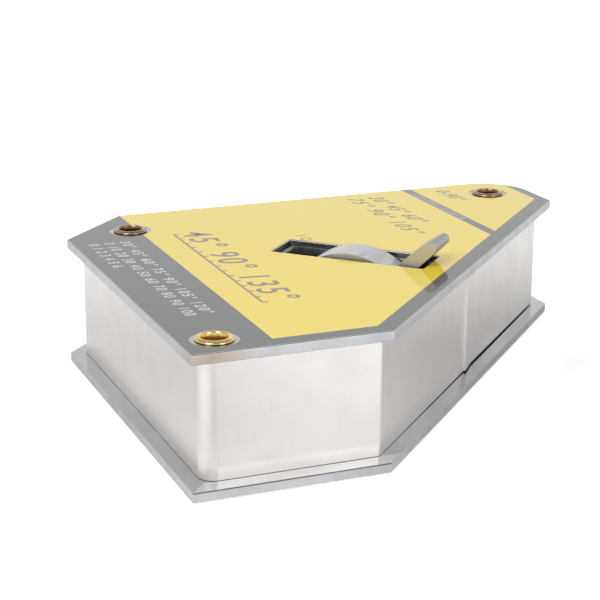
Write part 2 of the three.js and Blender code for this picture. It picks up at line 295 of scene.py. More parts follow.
def axle_bar(name, radius, half_length):
    """A cylinder along the axle, in the slot's own frame, used as a cutter."""
    bpy.ops.mesh.primitive_cylinder_add(
        vertices=64, radius=radius, depth=2 * half_length, rotation=(math.pi / 2, 0, 0))
    piece = begin(name)
    bpy.ops.object.mode_set(mode="OBJECT")
    return piece


def middle_of(node):
    """The middle of a node's box at rest."""
    low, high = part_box(node)
    return (low + high) / 2


# ---------------------------------------------------------------------------
# Outlines of the case and the slot, shared by the plates, the band and the label
# ---------------------------------------------------------------------------

def case_outline(name, inset, front_inset, bottom, thickness):
    """A sharp-cornered slab of the case's outline, each side moved in by its inset."""
    low = Vector((LEFT + inset, FRONT + front_inset, 0))
    high = Vector((RIGHT - inset, BACK - inset, 0))
    bpy.ops.mesh.primitive_plane_add(
        size=1, location=((low.x + high.x) / 2, (low.y + high.y) / 2, bottom))
    piece = begin(name)
    middle = (low + high) / 2
    bpy.ops.transform.resize(
        value=(high.x - low.x, high.y - low.y, 1), center_override=(middle.x, middle.y, bottom))
    diagonal = Vector((LEFT + FRONT_EDGE, FRONT, bottom)) - ALONG_SLOT * inset
    bpy.ops.mesh.bisect(
        plane_co=diagonal, plane_no=ALONG_SLOT, use_fill=False, clear_outer=True)
    bpy.ops.mesh.select_all(action="SELECT")
    clipped = Vector((LEFT, BACK - CLIPPED_CORNER, bottom)) + ALONG_SLOT * inset
    bpy.ops.mesh.bisect(
        plane_co=clipped, plane_no=-ALONG_SLOT, use_fill=False, clear_outer=True)
    bpy.ops.mesh.select_all(action="SELECT")
    bpy.ops.mesh.extrude_region_move(TRANSFORM_OT_translate={"value": (0, 0, thickness)})
    bpy.ops.mesh.select_all(action="SELECT")
    bpy.ops.mesh.normals_make_consistent(inside=False)
    return piece


def is_upright(start, end):
    """Whether an edge stands straight up."""
    return (start - end).to_2d().length < HAIR and abs(start.z - end.z) > 10 * HAIR


def round_corner(piece, corner, reach, segments):
    """Rounds the upright edge nearest to a corner of the outline."""
    pick_edges(piece, lambda start, end: is_upright(start, end)
               and (start.to_2d() - corner.to_2d()).length < 2 * MM)
    bpy.ops.mesh.bevel(offset_type="OFFSET", offset=reach, segments=segments, profile=0.5,
                       affect="EDGES")


def slot_cutter(margin, height, corner, level):
    """A bar of the slot's outline, with rounded upright corners, used as a cutter."""
    bpy.ops.mesh.primitive_cube_add(size=1)
    cutter = begin("slot")
    bpy.ops.transform.resize(
        value=(SLOT_LENGTH + 2 * margin, SLOT_WIDTH + 2 * margin, height),
        center_override=(0, 0, 0))
    pick_edges(cutter, is_upright)
    bpy.ops.mesh.bevel(offset=corner, segments=SLOT_CORNER_STEPS, affect="EDGES")
    bpy.ops.object.mode_set(mode="OBJECT")
    to_slot_frame(cutter)
    cutter.location.z = level - AXLE.z
    settle()
    return cutter


# ---------------------------------------------------------------------------
# Case pieces
# ---------------------------------------------------------------------------

def pole_plate(name, bottom, thickness, has_slot):
    """A steel pole plate with rivet holes, and for the top one the lever's slot."""
    piece = case_outline(name, 0, 0, bottom, thickness)
    round_corner(piece, Vector((RIGHT, BACK, 0)), NOSE_RADIUS, NOSE_STEPS)
    close_piece()
    top = bottom + thickness
    for node in RIVETS:
        place = middle_of(node)
        carve(piece, round_bar("hole", RIVET_HOLE, bottom - MM, top + MM, place))
    if has_slot:
        carve(piece, slot_cutter(0, 3 * thickness, SLOT_CORNER, (bottom + top) / 2))
    else:
        for node in RIVETS:
            place = middle_of(node)
            bpy.ops.mesh.primitive_cone_add(
                vertices=RIVET_STEPS, radius1=RIVET_FLARE + RIVET_SINK_CLEARANCE,
                radius2=RIVET_HOLE, depth=RIVET_SINK,
                location=(place.x, place.y, RIVET_SINK / 2))
            sink = begin("countersink")
            bpy.ops.object.mode_set(mode="OBJECT")
            carve(piece, sink)
    soften_edges(piece, PLATE_ROUNDING)
    if not has_slot:
        # The lower plate is split so that its front ledge gets a painted reflection and its upper
        # front edge a painted shade line.
        split(piece,
              ((0, FRONT + BAND_FRONT_INSET, 0), (0, 1, 0)),
              ((LEFT, FRONT, 0), (-BAND_FRONT_INSET, BAND_INSET, 0)),
              ((0, 0, top - SHADE_LINE_DEPTH), (0, 0, 1)))
    shade(piece)
    give(piece, ROLLED_FACE, SHEARED_EDGE, DARK_SCALE_AND_PAINTED_SHADE, LEDGE_PAINTED_REFLECTION)
    rolled, sheared, dark_scale_and_shade, painted_reflection = range(4)
    for face in piece.data.polygons:
        centre, normal = face.center, face.normal
        from_axle = centre - AXLE
        in_slot = (abs(from_axle.dot(ALONG_SLOT)) < SLOT_LENGTH / 2 + 0.1 * MM
                   and abs(from_axle.dot(ALONG_AXLE)) < SLOT_WIDTH / 2 + 0.1 * MM)
        # The rounded upper front edge of the lower plate gets a dark painted shade line.
        painted_shade_line = (not has_slot and normal.y < -0.35 and normal.z < 0.97
                      and abs(normal.x) < 0.3 and centre.z > top - SHADE_LINE_DEPTH)
        front_ledge = (not has_slot and normal.z > 0.97 and centre.y < FRONT + BAND_FRONT_INSET
                       and (centre.x - LEFT) * BAND_FRONT_INSET > (centre.y - FRONT) * BAND_INSET)
        # The front ledge is lighter: a painted reflection of the band's front face.
        if front_ledge:
            face.material_index = painted_reflection
        elif abs(normal.z) > (0.5 if in_slot else 0.75) and not painted_shade_line:
            face.material_index = rolled
        # Slot walls: dark scale and painted shade; the lower plate's front edge line: painted
        # shade.
        elif in_slot or painted_shade_line:
            face.material_index = dark_scale_and_shade
        else:
            face.material_index = sheared
    return piece


def closing_band():
    """The thin sheet that closes the sides, bent round the case and closed by a seam."""
    bottom = BOTTOM_PLATE_HIGH.z + BAND_FOOT_GAP
    top = TOP_PLATE_LOW.z - BAND_FOOT_GAP
    piece = case_outline("closing_band", BAND_INSET, BAND_FRONT_INSET, bottom, top - bottom)
    nose = Vector((RIGHT - BAND_INSET, BACK - BAND_INSET, 0))
    round_corner(piece, nose, NOSE_RADIUS - BAND_INSET, BAND_NOSE_STEPS)
    front_corner = Vector((LEFT + BAND_INSET, FRONT + BAND_FRONT_INSET, 0))
    round_corner(piece, front_corner, BAND_FRONT_BEND, BAND_FRONT_BEND_STEPS)
    diagonal_inset = BAND_INSET * math.sqrt(2)
    corner_inset = diagonal_inset - BAND_INSET
    diagonal_start = LEFT + FRONT_EDGE - diagonal_inset
    wide_bends = (
        Vector((diagonal_start + BAND_FRONT_INSET, front_corner.y, 0)),
        Vector((nose.x, nose.x + FRONT - diagonal_start, 0)),
        Vector((LEFT + CLIPPED_CORNER + corner_inset, nose.y, 0)),
        Vector((LEFT + BAND_INSET, BACK - CLIPPED_CORNER - corner_inset, 0)),
    )
    for corner in wide_bends:
        round_corner(piece, corner, BAND_BEND * math.tan(math.radians(22.5)), BAND_BEND_STEPS)
    pick_faces(piece, lambda centre, normal: abs(normal.z) > 0.9)
    bpy.ops.mesh.delete(type="FACE")
    seam = AXLE + ALONG_AXLE * SEAM_FROM_SLOT + ALONG_SLOT * (DIAGONAL_REACH - BAND_INSET)
    for place in (-SEAM_CUT, 0):
        pick_faces(piece, lambda centre, normal: abs(normal.dot(ALONG_SLOT)) > 0.99
                   and (centre - seam).dot(ALONG_SLOT) > -MM)
        bpy.ops.mesh.bisect(
            plane_co=seam + ALONG_AXLE * place, plane_no=ALONG_AXLE, threshold=WELD)
    pick_edges(piece, lambda start, end: max(start.z, end.z) < bottom + HAIR
               and abs(((start + end) / 2 - seam).dot(ALONG_AXLE)) < SEAM_CUT
               and ((start + end) / 2 - seam).dot(ALONG_SLOT) > -MM)
    bpy.ops.transform.translate(value=(0, 0, BAND_FOOT_LIFT))
    pick_edges(piece, lambda start, end: max(start.z, end.z) < bottom + BAND_FOOT_LIFT + HAIR
               and min((start - seam).dot(ALONG_AXLE), (end - seam).dot(ALONG_AXLE)) > -HAIR
               and ((start + end) / 2 - seam).dot(ALONG_SLOT) > -MM)
    bpy.ops.transform.translate(value=(0, 0, BAND_END_LIFT))
    bpy.ops.object.mode_set(mode="OBJECT")
    take(piece)
    wall = piece.modifiers.new("sheet", "SOLIDIFY")
    wall.thickness = BAND_SHEET
    wall.offset = -1
    wall.use_even_offset = True
    bpy.ops.object.modifier_apply(modifier=wall.name)
    bpy.ops.object.mode_set(mode="EDIT")
    pick_faces(piece, lambda centre, normal: normal.dot(ALONG_SLOT) > 0.99)
    bpy.ops.mesh.bisect(
        plane_co=seam + ALONG_AXLE * SEAM_JOGGLE, plane_no=ALONG_AXLE, threshold=WELD)
    pick_edges(piece, lambda start, end: is_upright(start, end)
               and abs((start - seam).dot(ALONG_AXLE)) < SEAM_CUT / 2
               and abs((start - seam).dot(ALONG_SLOT)) < 0.1 * MM)
    bpy.ops.transform.translate(value=ALONG_SLOT * SEAM_LIP)
    bpy.ops.object.mode_set(mode="OBJECT")
    shade(piece, 25)
    give(piece, BAND_SHEET_METAL, CUT_EDGE_PAINTED_HIGHLIGHT)
    # The seam's cut edge is near-white: bare cut steel brightened to a painted highlight.
    for face in piece.data.polygons:
        from_seam = face.center - seam
        on_cut = abs(from_seam.dot(ALONG_AXLE)) < SEAM_CUT and from_seam.dot(ALONG_SLOT) > 0
        face.material_index = 1 if on_cut else 0
    return piece


def printed_label():
    """The laminate on the top plate, split along the borders of its grey and yellow fields."""
    bottom = CASE_TOP + LABEL_BED
    piece = case_outline(
        "printed_label", LABEL_MARGIN, LABEL_MARGIN, bottom, LABEL_THICKNESS - LABEL_BED)
    corner = Vector((RIGHT - LABEL_MARGIN, BACK - LABEL_MARGIN, 0))
    round_corner(piece, corner, NOSE_RADIUS - LABEL_MARGIN, NOSE_STEPS)
    close_piece()
    for node in RIVETS:
        place = middle_of(node)
        carve(piece, round_bar("clearing", LABEL_HOLE, bottom - MM, bottom + MM, place, 72))
    carve(piece, slot_cutter(LABEL_SLOT_MARGIN, 4 * MM, LABEL_SLOT_CORNER, CASE_TOP))
    soften_edges(piece, LABEL_ROUNDING, 2, 50)
    diagonal = Vector((LEFT + FRONT_EDGE, FRONT, 0)) - ALONG_SLOT * GREY_DIAGONAL
    borders = (
        (Vector((LEFT + GREY_BAND, 0, 0)), Vector((1, 0, 0))),
        (Vector((0, FRONT + GREY_FRONT, 0)), Vector((0, 1, 0))),
        (Vector((RIGHT - GREY_RIGHT, 0, 0)), Vector((1, 0, 0))),
        (diagonal, ALONG_SLOT),
        (Vector((LEFT + GREY_STRIP[0], 0, 0)), Vector((1, 0, 0))),
        (Vector((LEFT + GREY_STRIP[1], 0, 0)), Vector((1, 0, 0))),
    )
    take(piece)
    bpy.ops.object.mode_set(mode="EDIT")
    for place, across in borders:
        bpy.ops.mesh.select_all(action="SELECT")
        bpy.ops.mesh.bisect(plane_co=place, plane_no=across)
    bpy.ops.object.mode_set(mode="OBJECT")
    shade(piece, 30)
    give(piece, YELLOW_PRINT, GREY_PRINT, FILM_EDGE)
    yellow_print, grey_print, film_edge = range(3)
    for face in piece.data.polygons:
        centre = face.center
        grey = (
            centre.x < LEFT + GREY_BAND
            or centre.y < FRONT + GREY_FRONT
            or centre.x > RIGHT - GREY_RIGHT
            or (centre - diagonal).to_2d().dot(ALONG_SLOT.to_2d()) > 0
            or LEFT + GREY_STRIP[0] < centre.x < LEFT + GREY_STRIP[1]
        )
        if abs(face.normal.z) < 0.8:
            face.material_index = film_edge
        else:
            face.material_index = grey_print if grey else yellow_print
    return piece


def printed_row(name, words, cap_height, line, start, end, spacing, ink, slant=0.0):
    """One row of figures on the label, reading towards -y, fitted between two places that are
    measured, like its line, from the front-left corner of the plate."""
    bpy.ops.object.text_add(location=(0, 0, 0))
    row = bpy.context.object
    row.name = name
    row.data.body = words
    row.data.size = cap_height / CAPITAL_SHARE
    row.data.space_character = spacing
    row.data.shear = slant
    row.data.offset = PRINT_BOLDNESS * cap_height
    row.data.extrude = PRINT_DEPTH / 2
    row.data.resolution_u = 4
    bpy.ops.object.convert(target="MESH")
    row = bpy.context.object
    row.data.name = name
    corners = [Vector(corner) for corner in row.bound_box]
    low = Vector((min(c.x for c in corners), min(c.y for c in corners), 0))
    high = Vector((max(c.x for c in corners), max(c.y for c in corners), 0))
    bpy.ops.object.mode_set(mode="EDIT")
    bpy.ops.mesh.select_all(action="SELECT")
    bpy.ops.transform.translate(value=-(low + high) / 2)
    bpy.ops.transform.resize(
        value=((start - end) / (high.x - low.x), 1, 1), center_override=(0, 0, 0))
    bpy.ops.object.mode_set(mode="OBJECT")
    row.rotation_euler = (0, 0, -math.pi / 2)
    row.location = (LEFT + line, FRONT + (start + end) / 2, PRINT_PLANE)
    settle()
    give(row, ink)
    hand_over(row, "case", "label_print")


def printed_rule(name, line, start, end, stroke, tick, pitch, ink):
    """A graduated line that runs along y on the label; places are from the front-left corner."""
    length = abs(end - start)
    count = int(length // pitch) + 1
    bpy.ops.mesh.primitive_plane_add(size=1)
    ticks = begin(name)
    bpy.ops.transform.resize(value=(tick, stroke, 1), center_override=(0, 0, 0))
    bpy.ops.transform.translate(value=(tick / 2, 0, 0))
    bpy.ops.mesh.extrude_region_move(TRANSFORM_OT_translate={"value": (0, 0, PRINT_DEPTH)})
    close_piece()
    take(ticks)
    comb = ticks.modifiers.new("ticks", "ARRAY")
    comb.count = count
    comb.use_relative_offset = False
    comb.use_constant_offset = True
    comb.constant_offset_displace = (0, length / (count - 1), 0)
    bpy.ops.object.modifier_apply(modifier=comb.name)
    bpy.ops.mesh.primitive_plane_add(size=1)
    base = begin("line")
    bpy.ops.transform.resize(value=(stroke, length + stroke, 1), center_override=(0, 0, 0))
    bpy.ops.transform.translate(value=(0, length / 2, 0))
    bpy.ops.mesh.extrude_region_move(TRANSFORM_OT_translate={"value": (0, 0, PRINT_DEPTH)})
    close_piece()
    carve(ticks, base, "UNION")
    take(ticks)
    ticks.location = (LEFT + line, FRONT + min(start, end), PRINT_PLANE - PRINT_DEPTH / 2)
    settle()
    give(ticks, ink)
    hand_over(ticks, "case", "label_print")


def label_prints():
    """Angle figures and scales that mark the label; all of them are plain numbers."""
    for name, words, cap_height, line, start, end, spacing, ink, slant in (
        ("print_main_angles", "45° 90° 135°", 8.0, 36.2, 104, 33, 1.25, GREY_INK, 0.15),
        ("print_angle_list", "30° 45° 60° 75° 90° 105° 120°", 2.9, 14.5, 101, 29, 1.3,
         WHITE_INK, 0.1),
        ("print_length_scale", "0 10 20 30 40 50 60 70 80 90 100", 2.9, 9.9, 101, 28.5, 1.3,
         WHITE_INK, 0.1),
        ("print_short_scale", "0 1 2 3 4 5 6", 2.9, 5.5, 101, 76, 1.2, WHITE_INK, 0.1),
        ("print_upper_angles", "30° 45° 60°", 4.6, 102.5, 124.5, 91, 1.2, GREY_INK, 0.35),
        ("print_lower_angles", "75° 90° 105°", 4.6, 95.5, 125, 79, 1.3, GREY_INK, 0.35),
        ("print_nose_angle", "0-90°", 4.2, 126, 125, 111, 1.1, GREY_INK, 0.35),
        ("print_strip_scale", "0 1 2 3 4 5 6 7 8 9 10 11 12 13 14 15 16 17 18", 1.9, 115.9,
         124.5, 90.3, 1.1, WHITE_INK, 0.1),
        ("print_on_mark", "I O", 3.2, 63.2, 89.5, 83.5, 1.1, GREY_INK, 0.0),
    ):
        printed_row(name, words, cap_height * MM, line * MM, start * MM, end * MM, spacing, ink,
                    slant)
    printed_rule("print_main_rule", 29.8 * MM, 32.5 * MM, 103 * MM, 0.6 * MM, 1.5 * MM,
                 5 * MM, GREY_INK)


def hollow_rivet(name, place, finish, bore_finish, bore_from):
    """A tubular rivet drawn up ring by ring: rolled flange, bore, flush flare and shank."""
    seat = CASE_TOP + RIVET_BED
    rings = [(RIVET_SHANK + 0.15 * MM, seat), (RIVET_FLANGE - 0.2 * MM, seat)]
    for step in range(RIVET_ROLL_STEPS + 1):
        turn = math.pi * step / RIVET_ROLL_STEPS
        if turn < math.pi / 2:
            reach, foot = RIVET_FLANGE - RIVET_CREST, seat + 0.2 * MM
        else:
            reach, foot = RIVET_CREST - RIVET_BORE, seat - RIVET_FUNNEL
        rise = seat + RIVET_RISE - foot
        rings.append((RIVET_CREST + reach * math.cos(turn), foot + rise * math.sin(turn)))
    rings += [
        (RIVET_BORE - 0.05 * MM, seat - 2 * RIVET_FUNNEL),
        (RIVET_BORE - 0.05 * MM, RIVET_SINK + 0.6 * MM),
        (RIVET_BORE + 0.15 * MM, RIVET_SINK),
        (RIVET_FLARE - 0.7 * MM, 0.3 * MM),
        (RIVET_FLARE - 0.2 * MM, 0.15 * MM),
        (RIVET_FLARE, 0.4 * MM),
        (RIVET_SHANK, RIVET_SINK + 0.2 * MM),
        (RIVET_SHANK, seat - 0.2 * MM),
        rings[0],
    ]
    radius, height = rings[0]
    bpy.ops.mesh.primitive_circle_add(
        vertices=RIVET_STEPS, radius=radius, fill_type="NOTHING",
        location=(place.x, place.y, height))
    piece = begin(name)
    bpy.ops.mesh.select_mode(type="EDGE")
    bpy.ops.mesh.select_all(action="SELECT")
    for next_radius, next_height in rings[1:]:
        bpy.ops.mesh.extrude_edges_move(
            TRANSFORM_OT_translate={"value": (0, 0, next_height - height)})
        bpy.ops.transform.resize(
            value=(next_radius / radius, next_radius / radius, 1),
            center_override=(place.x, place.y, next_height))
        radius, height = next_radius, next_height
    close_piece()
    shade(piece, 60)
    give(piece, finish, bore_finish)
    for face in piece.data.polygons:
        inside = (face.center - place).to_2d().length < RIVET_CREST
        face.material_index = 1 if inside and face.center.z < seat + bore_from else 0
    return piece


def lever_well():
    """The folded liner of the slot, open at the top, with a hole on each side for the shaft."""
    bpy.ops.mesh.primitive_cube_add(size=1)
    piece = begin("slot_liner")
    top, bottom = WELL_TOP - AXLE.z, WELL_BOTTOM - AXLE.z
    bpy.ops.transform.resize(
        value=(WELL_OUTER[0], WELL_OUTER[1], top - bottom), center_override=(0, 0, 0))
    bpy.ops.transform.translate(value=(0, 0, (top + bottom) / 2))
    pick_faces(piece, lambda centre, normal: normal.z > 0.9)
    side_wall = (WELL_OUTER[1] - WELL_INNER[1]) / 2
    bpy.ops.mesh.inset(thickness=side_wall, depth=0)
    bpy.ops.transform.resize(
        value=(WELL_INNER[0] / (WELL_OUTER[0] - 2 * side_wall), 1, 1),
        center_override=(0, 0, top))
    depth = top - bottom - WELL_FLOOR
    bpy.ops.mesh.extrude_region_move(TRANSFORM_OT_translate={"value": (0, 0, -depth)})
    close_piece()
    carve(piece, axle_bar("shaft_hole", SHAFT_HOLE + WELL_SHAFT_CLEARANCE, SLOT_WIDTH))
    soften_edges(piece, WELL_ROUNDING, 2)
    # Below WELL_LIT the well's walls are near-black: painted shade deep in the well.
    split(piece, ((0, 0, top - WELL_LIT), (0, 0, 1)))
    shade(piece)
    to_slot_frame(piece)
    give(piece, LINER_SHEET, LINER_PAINTED_SHADE)
    for face in piece.data.polygons:
        face.material_index = 1 if face.center.z < WELL_TOP - WELL_LIT else 0
    return piece


def pie_slice(name, radius, start, end, half_width, vertices=180):
    """A slice of a disc across the axle; angles are measured from upright towards +x."""
    bpy.ops.mesh.primitive_cylinder_add(
        vertices=vertices, radius=radius, depth=2 * half_width, rotation=(math.pi / 2, 0, 0))
    piece = begin(name)
    for angle, side in ((start, -1), (end, 1)):
        bpy.ops.mesh.select_all(action="SELECT")
        across = Vector((math.cos(angle), 0, -math.sin(angle))) * side
        bpy.ops.mesh.bisect(plane_co=(0, 0, 0), plane_no=across, use_fill=True, clear_outer=True)
    close_piece()
    return piece


def lever_arm():
    """The arm, drawn out of a block step by step to its rounded thumb lip, upright."""
    root = HUB_RADIUS
    shoulder = ARM_REACH - LIP_LENGTH
    width = ARM_OUTER_FACE - ARM_INNER_FACE
    middle = (ARM_OUTER_FACE + ARM_INNER_FACE) / 2
    bpy.ops.mesh.primitive_cube_add(size=1)
    piece = begin("arm")
    bpy.ops.transform.resize(
        value=(width, LEVER_WIDTH, shoulder - root), center_override=(0, 0, 0))
    bpy.ops.transform.translate(value=(middle, 0, (shoulder + root) / 2))
    tip_centre = ARM_REACH - LIP_RADIUS
    outline = [(shoulder + NECK_RISE, NECK_INNER_FACE, ARM_OUTER_FACE)]
    for step in range(LIP_STEPS):
        turn = math.pi / 2 * step / LIP_STEPS
        half = LIP_RADIUS * math.cos(turn)
        outline.append(
            (tip_centre + LIP_RADIUS * math.sin(turn), LIP_OFFSET - half, LIP_OFFSET + half))
    left, right, height = ARM_INNER_FACE, ARM_OUTER_FACE, shoulder
    pick_faces(piece, lambda centre, normal: normal.z > 0.9)
    for next_height, next_left, next_right in outline:
        shift = (next_left + next_right - left - right) / 2
        bpy.ops.mesh.extrude_region_move(
            TRANSFORM_OT_translate={"value": (shift, 0, next_height - height)})
        bpy.ops.transform.resize(
            value=((next_right - next_left) / (right - left), 1, 1),
            center_override=((next_left + next_right) / 2, 0, next_height))
        left, right, height = next_left, next_right, next_height
    close_piece()
    take(piece)
    piece.rotation_euler = (0, LEVER_OFF_ANGLE, 0)
    settle()
    return piece


def cast_lever():
    """The lever: a rim sector, a hub and an arm cast as one, with pockets in both sides."""
    half = LEVER_WIDTH / 2
    arm_edge = LEVER_OFF_ANGLE + math.asin(ARM_OUTER_FACE / RIM_RADIUS)
    piece = pie_slice("cast_lever", RIM_RADIUS, LEVER_TAIL_ANGLE, arm_edge, half)
    carve(piece, axle_bar("hub", HUB_RADIUS, half), "UNION")
    carve(piece, lever_arm(), "UNION")
    for side in (-1, 1):
        pocket = pie_slice(
            "pocket", RIM_RADIUS - RIM_WALL, LEVER_TAIL_ANGLE + POCKET_MARGIN,
            arm_edge - 2 * POCKET_MARGIN, half, 120)
        carve(pocket, axle_bar("pocket_floor", HUB_RADIUS + POCKET_HUB_WALL, 2 * half))
        pocket.location.y = side * (2 * half - LEVER_POCKET)
        take(pocket)
        settle()
        carve(piece, pocket)
    carve(piece, axle_bar("shaft_hole", SHAFT_HOLE, LEVER_WIDTH))
    take(piece)
    bpy.ops.object.mode_set(mode="EDIT")
    bpy.ops.mesh.select_all(action="SELECT")
    bpy.ops.mesh.dissolve_limited(angle_limit=math.radians(0.5))
    bpy.ops.object.mode_set(mode="OBJECT")
    soften_edges(piece, LEVER_ROUNDING, 4, 28)
    shade(piece, 15)
    to_slot_frame(piece)
    give(piece, CAST_ZINC, HANDLED_ZINC_AND_PAINTED_SHADE, GROUND_ZINC)
    as_cast, handled_and_painted_shade, ground = range(3)
    along = ALONG_SLOT * math.sin(LEVER_OFF_ANGLE) + Vector((0, 0, math.cos(LEVER_OFF_ANGLE)))
    outward = ALONG_SLOT * math.cos(LEVER_OFF_ANGLE) - Vector((0, 0, math.sin(LEVER_OFF_ANGLE)))
    for face in piece.data.polygons:
        reach = (face.center - AXLE).dot(along)
        lip = reach > ARM_REACH - LIP_LENGTH
        # The arm's underside is darker: painted shade; the thumb lip is darker from handling.
        underside = reach > UNDERSIDE_FROM and face.normal.dot(outward) > 0.7
        side = abs(face.normal.dot(ALONG_AXLE)) > 0.9
        if lip or underside:
            face.material_index = handled_and_painted_shade
        else:
            face.material_index = ground if side else as_cast
    return piece


# ---------------------------------------------------------------------------
# Materials
# ---------------------------------------------------------------------------

# Scratches lean by SCRATCH_TURN radians; a stain that sits off the piece doesn't show; and
# the nodes of a frame stand NODE_STEP apart.
SCRATCH_TURN = 0.5
OFF_THE_PIECE = (0, 0, -1)
NODE_STEP = 250

def fresh_material(name):
    """An empty node material."""
    material = bpy.data.materials.new(name)
    material.use_nodes = True
    material.node_tree.nodes.clear()
    return material


def worked_metal(name, colour, stain, roughness, grain_size, grain_height, grain_tone=0.12,
                 stain_amount=0.35, stain_size=55.0, scratch_amount=0.2,
                 scratch_size=(30, 2200, 2200), scratch_depth=0.01, scratch_tone=0.2,
                 speck_amount=0.3, speck_scale=210.0, speck_radius=(0.05, 0.09),
                 gloss_swing=0.1, pit_height=0.01, edge_wear=0.4, warm_spot=OFF_THE_PIECE,
                 metallic=1.0):
    """Worked metal: directional grain, dull stains, hairline scratches, specks, worn edges."""
    material = fresh_material(name)
    nodes = material.node_tree.nodes
    links = material.node_tree.links

    output = nodes.new("ShaderNodeOutputMaterial")
    output.label = "metal surface"
    output.location = (1500, 0)
    metal = nodes.new("ShaderNodeBsdfPrincipled")
    metal.label = name
    metal.location = (1200, 0)
    metal.inputs["Metallic"].default_value = metallic
    place = nodes.new("ShaderNodeTexCoord")
    place.label = "place on the piece"
    place.location = (-1300, 0)

    grain_frame = nodes.new("NodeFrame")
    grain_frame.label = "rolling and grinding grain"
    grain_stretch = nodes.new("ShaderNodeMapping")
    grain_stretch.label = "grain direction"
    grain_stretch.inputs["Scale"].default_value = grain_size
    grain = nodes.new("ShaderNodeTexNoise")
    grain.label = "fine grain lines"
    grain.inputs["Scale"].default_value = 1.0
    grain.inputs["Detail"].default_value = 5.0
    grain.inputs["Roughness"].default_value = 0.65
    grain_range = nodes.new("ShaderNodeMapRange")
    grain_range.label = "grain contrast"
    grain_range.inputs["From Min"].default_value = 0.3
    grain_range.inputs["From Max"].default_value = 0.7

    stain_frame = nodes.new("NodeFrame")
    stain_frame.label = "dull stains and handling marks"
    stain_wide = nodes.new("ShaderNodeTexNoise")
    stain_wide.label = "wide stains"
    stain_wide.inputs["Scale"].default_value = stain_size
    stain_wide.inputs["Detail"].default_value = 1.5
    stain_wide.inputs["Distortion"].default_value = 0.2
    stain_ramp = nodes.new("ShaderNodeValToRGB")
    stain_ramp.label = "stain edges"
    stain_ramp.color_ramp.interpolation = "EASE"
    stain_ramp.color_ramp.elements[0].position = 0.36
    stain_ramp.color_ramp.elements[1].position = 0.68
    stain_share = nodes.new("ShaderNodeMath")
    stain_share.label = "how strong the stains are"
    stain_share.operation = "MULTIPLY"
    stain_share.inputs[1].default_value = stain_amount

    scratch_frame = nodes.new("NodeFrame")
    scratch_frame.label = "hairline scratches"
    scratch_stretch = nodes.new("ShaderNodeMapping")
    scratch_stretch.label = "scratch direction"
    scratch_stretch.inputs["Rotation"].default_value = (0, 0, SCRATCH_TURN)
    scratch_stretch.inputs["Scale"].default_value = scratch_size
    scratch = nodes.new("ShaderNodeTexNoise")
    scratch.label = "scratch lines"
    scratch.inputs["Scale"].default_value = 1.0
    scratch.inputs["Detail"].default_value = 1.0
    scratch_ramp = nodes.new("ShaderNodeValToRGB")
    scratch_ramp.label = "only the sharpest lines"
    scratch_ramp.color_ramp.elements[0].position = 0.68
    scratch_ramp.color_ramp.elements[1].position = 0.75
    scratch_share = nodes.new("ShaderNodeMath")
    scratch_share.label = "how strongly scratches show"
    scratch_share.operation = "MULTIPLY"
    scratch_share.inputs[1].default_value = scratch_amount

    speck_frame = nodes.new("NodeFrame")
    speck_frame.label = "dark specks and nicks"
    speck = nodes.new("ShaderNodeTexVoronoi")
    speck.label = "scattered specks"
    speck.inputs["Scale"].default_value = speck_scale
    speck_ramp = nodes.new("ShaderNodeValToRGB")
    speck_ramp.label = "speck size"
    speck_ramp.color_ramp.elements[0].position = speck_radius[0]
    speck_ramp.color_ramp.elements[0].color = (1, 1, 1, 1)
    speck_ramp.color_ramp.elements[1].position = speck_radius[1]
    speck_ramp.color_ramp.elements[1].color = (0, 0, 0, 1)
    speck_patch = nodes.new("ShaderNodeTexNoise")
    speck_patch.label = "where specks gather"
    speck_patch.inputs["Scale"].default_value = 70.0
    speck_gather = nodes.new("ShaderNodeMapRange")
    speck_gather.label = "only in patches"
    speck_gather.inputs["From Min"].default_value = 0.48
    speck_gather.inputs["From Max"].default_value = 0.6
    speck_gather.inputs["To Max"].default_value = speck_amount
    speck_share = nodes.new("ShaderNodeMath")
    speck_share.label = "specks in their patches"
    speck_share.operation = "MULTIPLY"
    marks = nodes.new("ShaderNodeMath")
    marks.label = "specks and scratches together"
    marks.operation = "MULTIPLY_ADD"
    marks.use_clamp = True
    marks.inputs[1].default_value = scratch_tone

    wear_frame = nodes.new("NodeFrame")
    wear_frame.label = "bright worn edges"
    edges = nodes.new("ShaderNodeNewGeometry")
    edges.label = "how sharply the surface turns"
    wear_ramp = nodes.new("ShaderNodeValToRGB")
    wear_ramp.label = "edges that rub bright"
    wear_ramp.color_ramp.elements[0].position = 0.52
    wear_ramp.color_ramp.elements[1].position = 0.62
    wear_share = nodes.new("ShaderNodeMath")
    wear_share.label = "how worn"
    wear_share.operation = "MULTIPLY"
    wear_share.inputs[1].default_value = edge_wear

    colour_frame = nodes.new("NodeFrame")
    colour_frame.label = "colour of the metal"
    tone = nodes.new("ShaderNodeMix")
    tone.label = "clean metal to stained metal"
    tone.data_type = "RGBA"
    tone.inputs["A"].default_value = (*colour, 1)
    tone.inputs["B"].default_value = (*stain, 1)
    streaked = nodes.new("ShaderNodeMix")
    streaked.label = "grain darkens the tone"
    streaked.data_type = "RGBA"
    streaked.blend_type = "MULTIPLY"
    streaked.inputs["Factor"].default_value = grain_tone
    specked = nodes.new("ShaderNodeMix")
    specked.label = "dark specks on top"
    specked.data_type = "RGBA"
    specked.inputs["B"].default_value = (*(channel * 0.25 for channel in colour), 1)
    worn = nodes.new("ShaderNodeMix")
    worn.label = "bright edges on top"
    worn.data_type = "RGBA"
    worn.inputs["B"].default_value = (*(min(1, channel * 1.25) for channel in colour), 1)

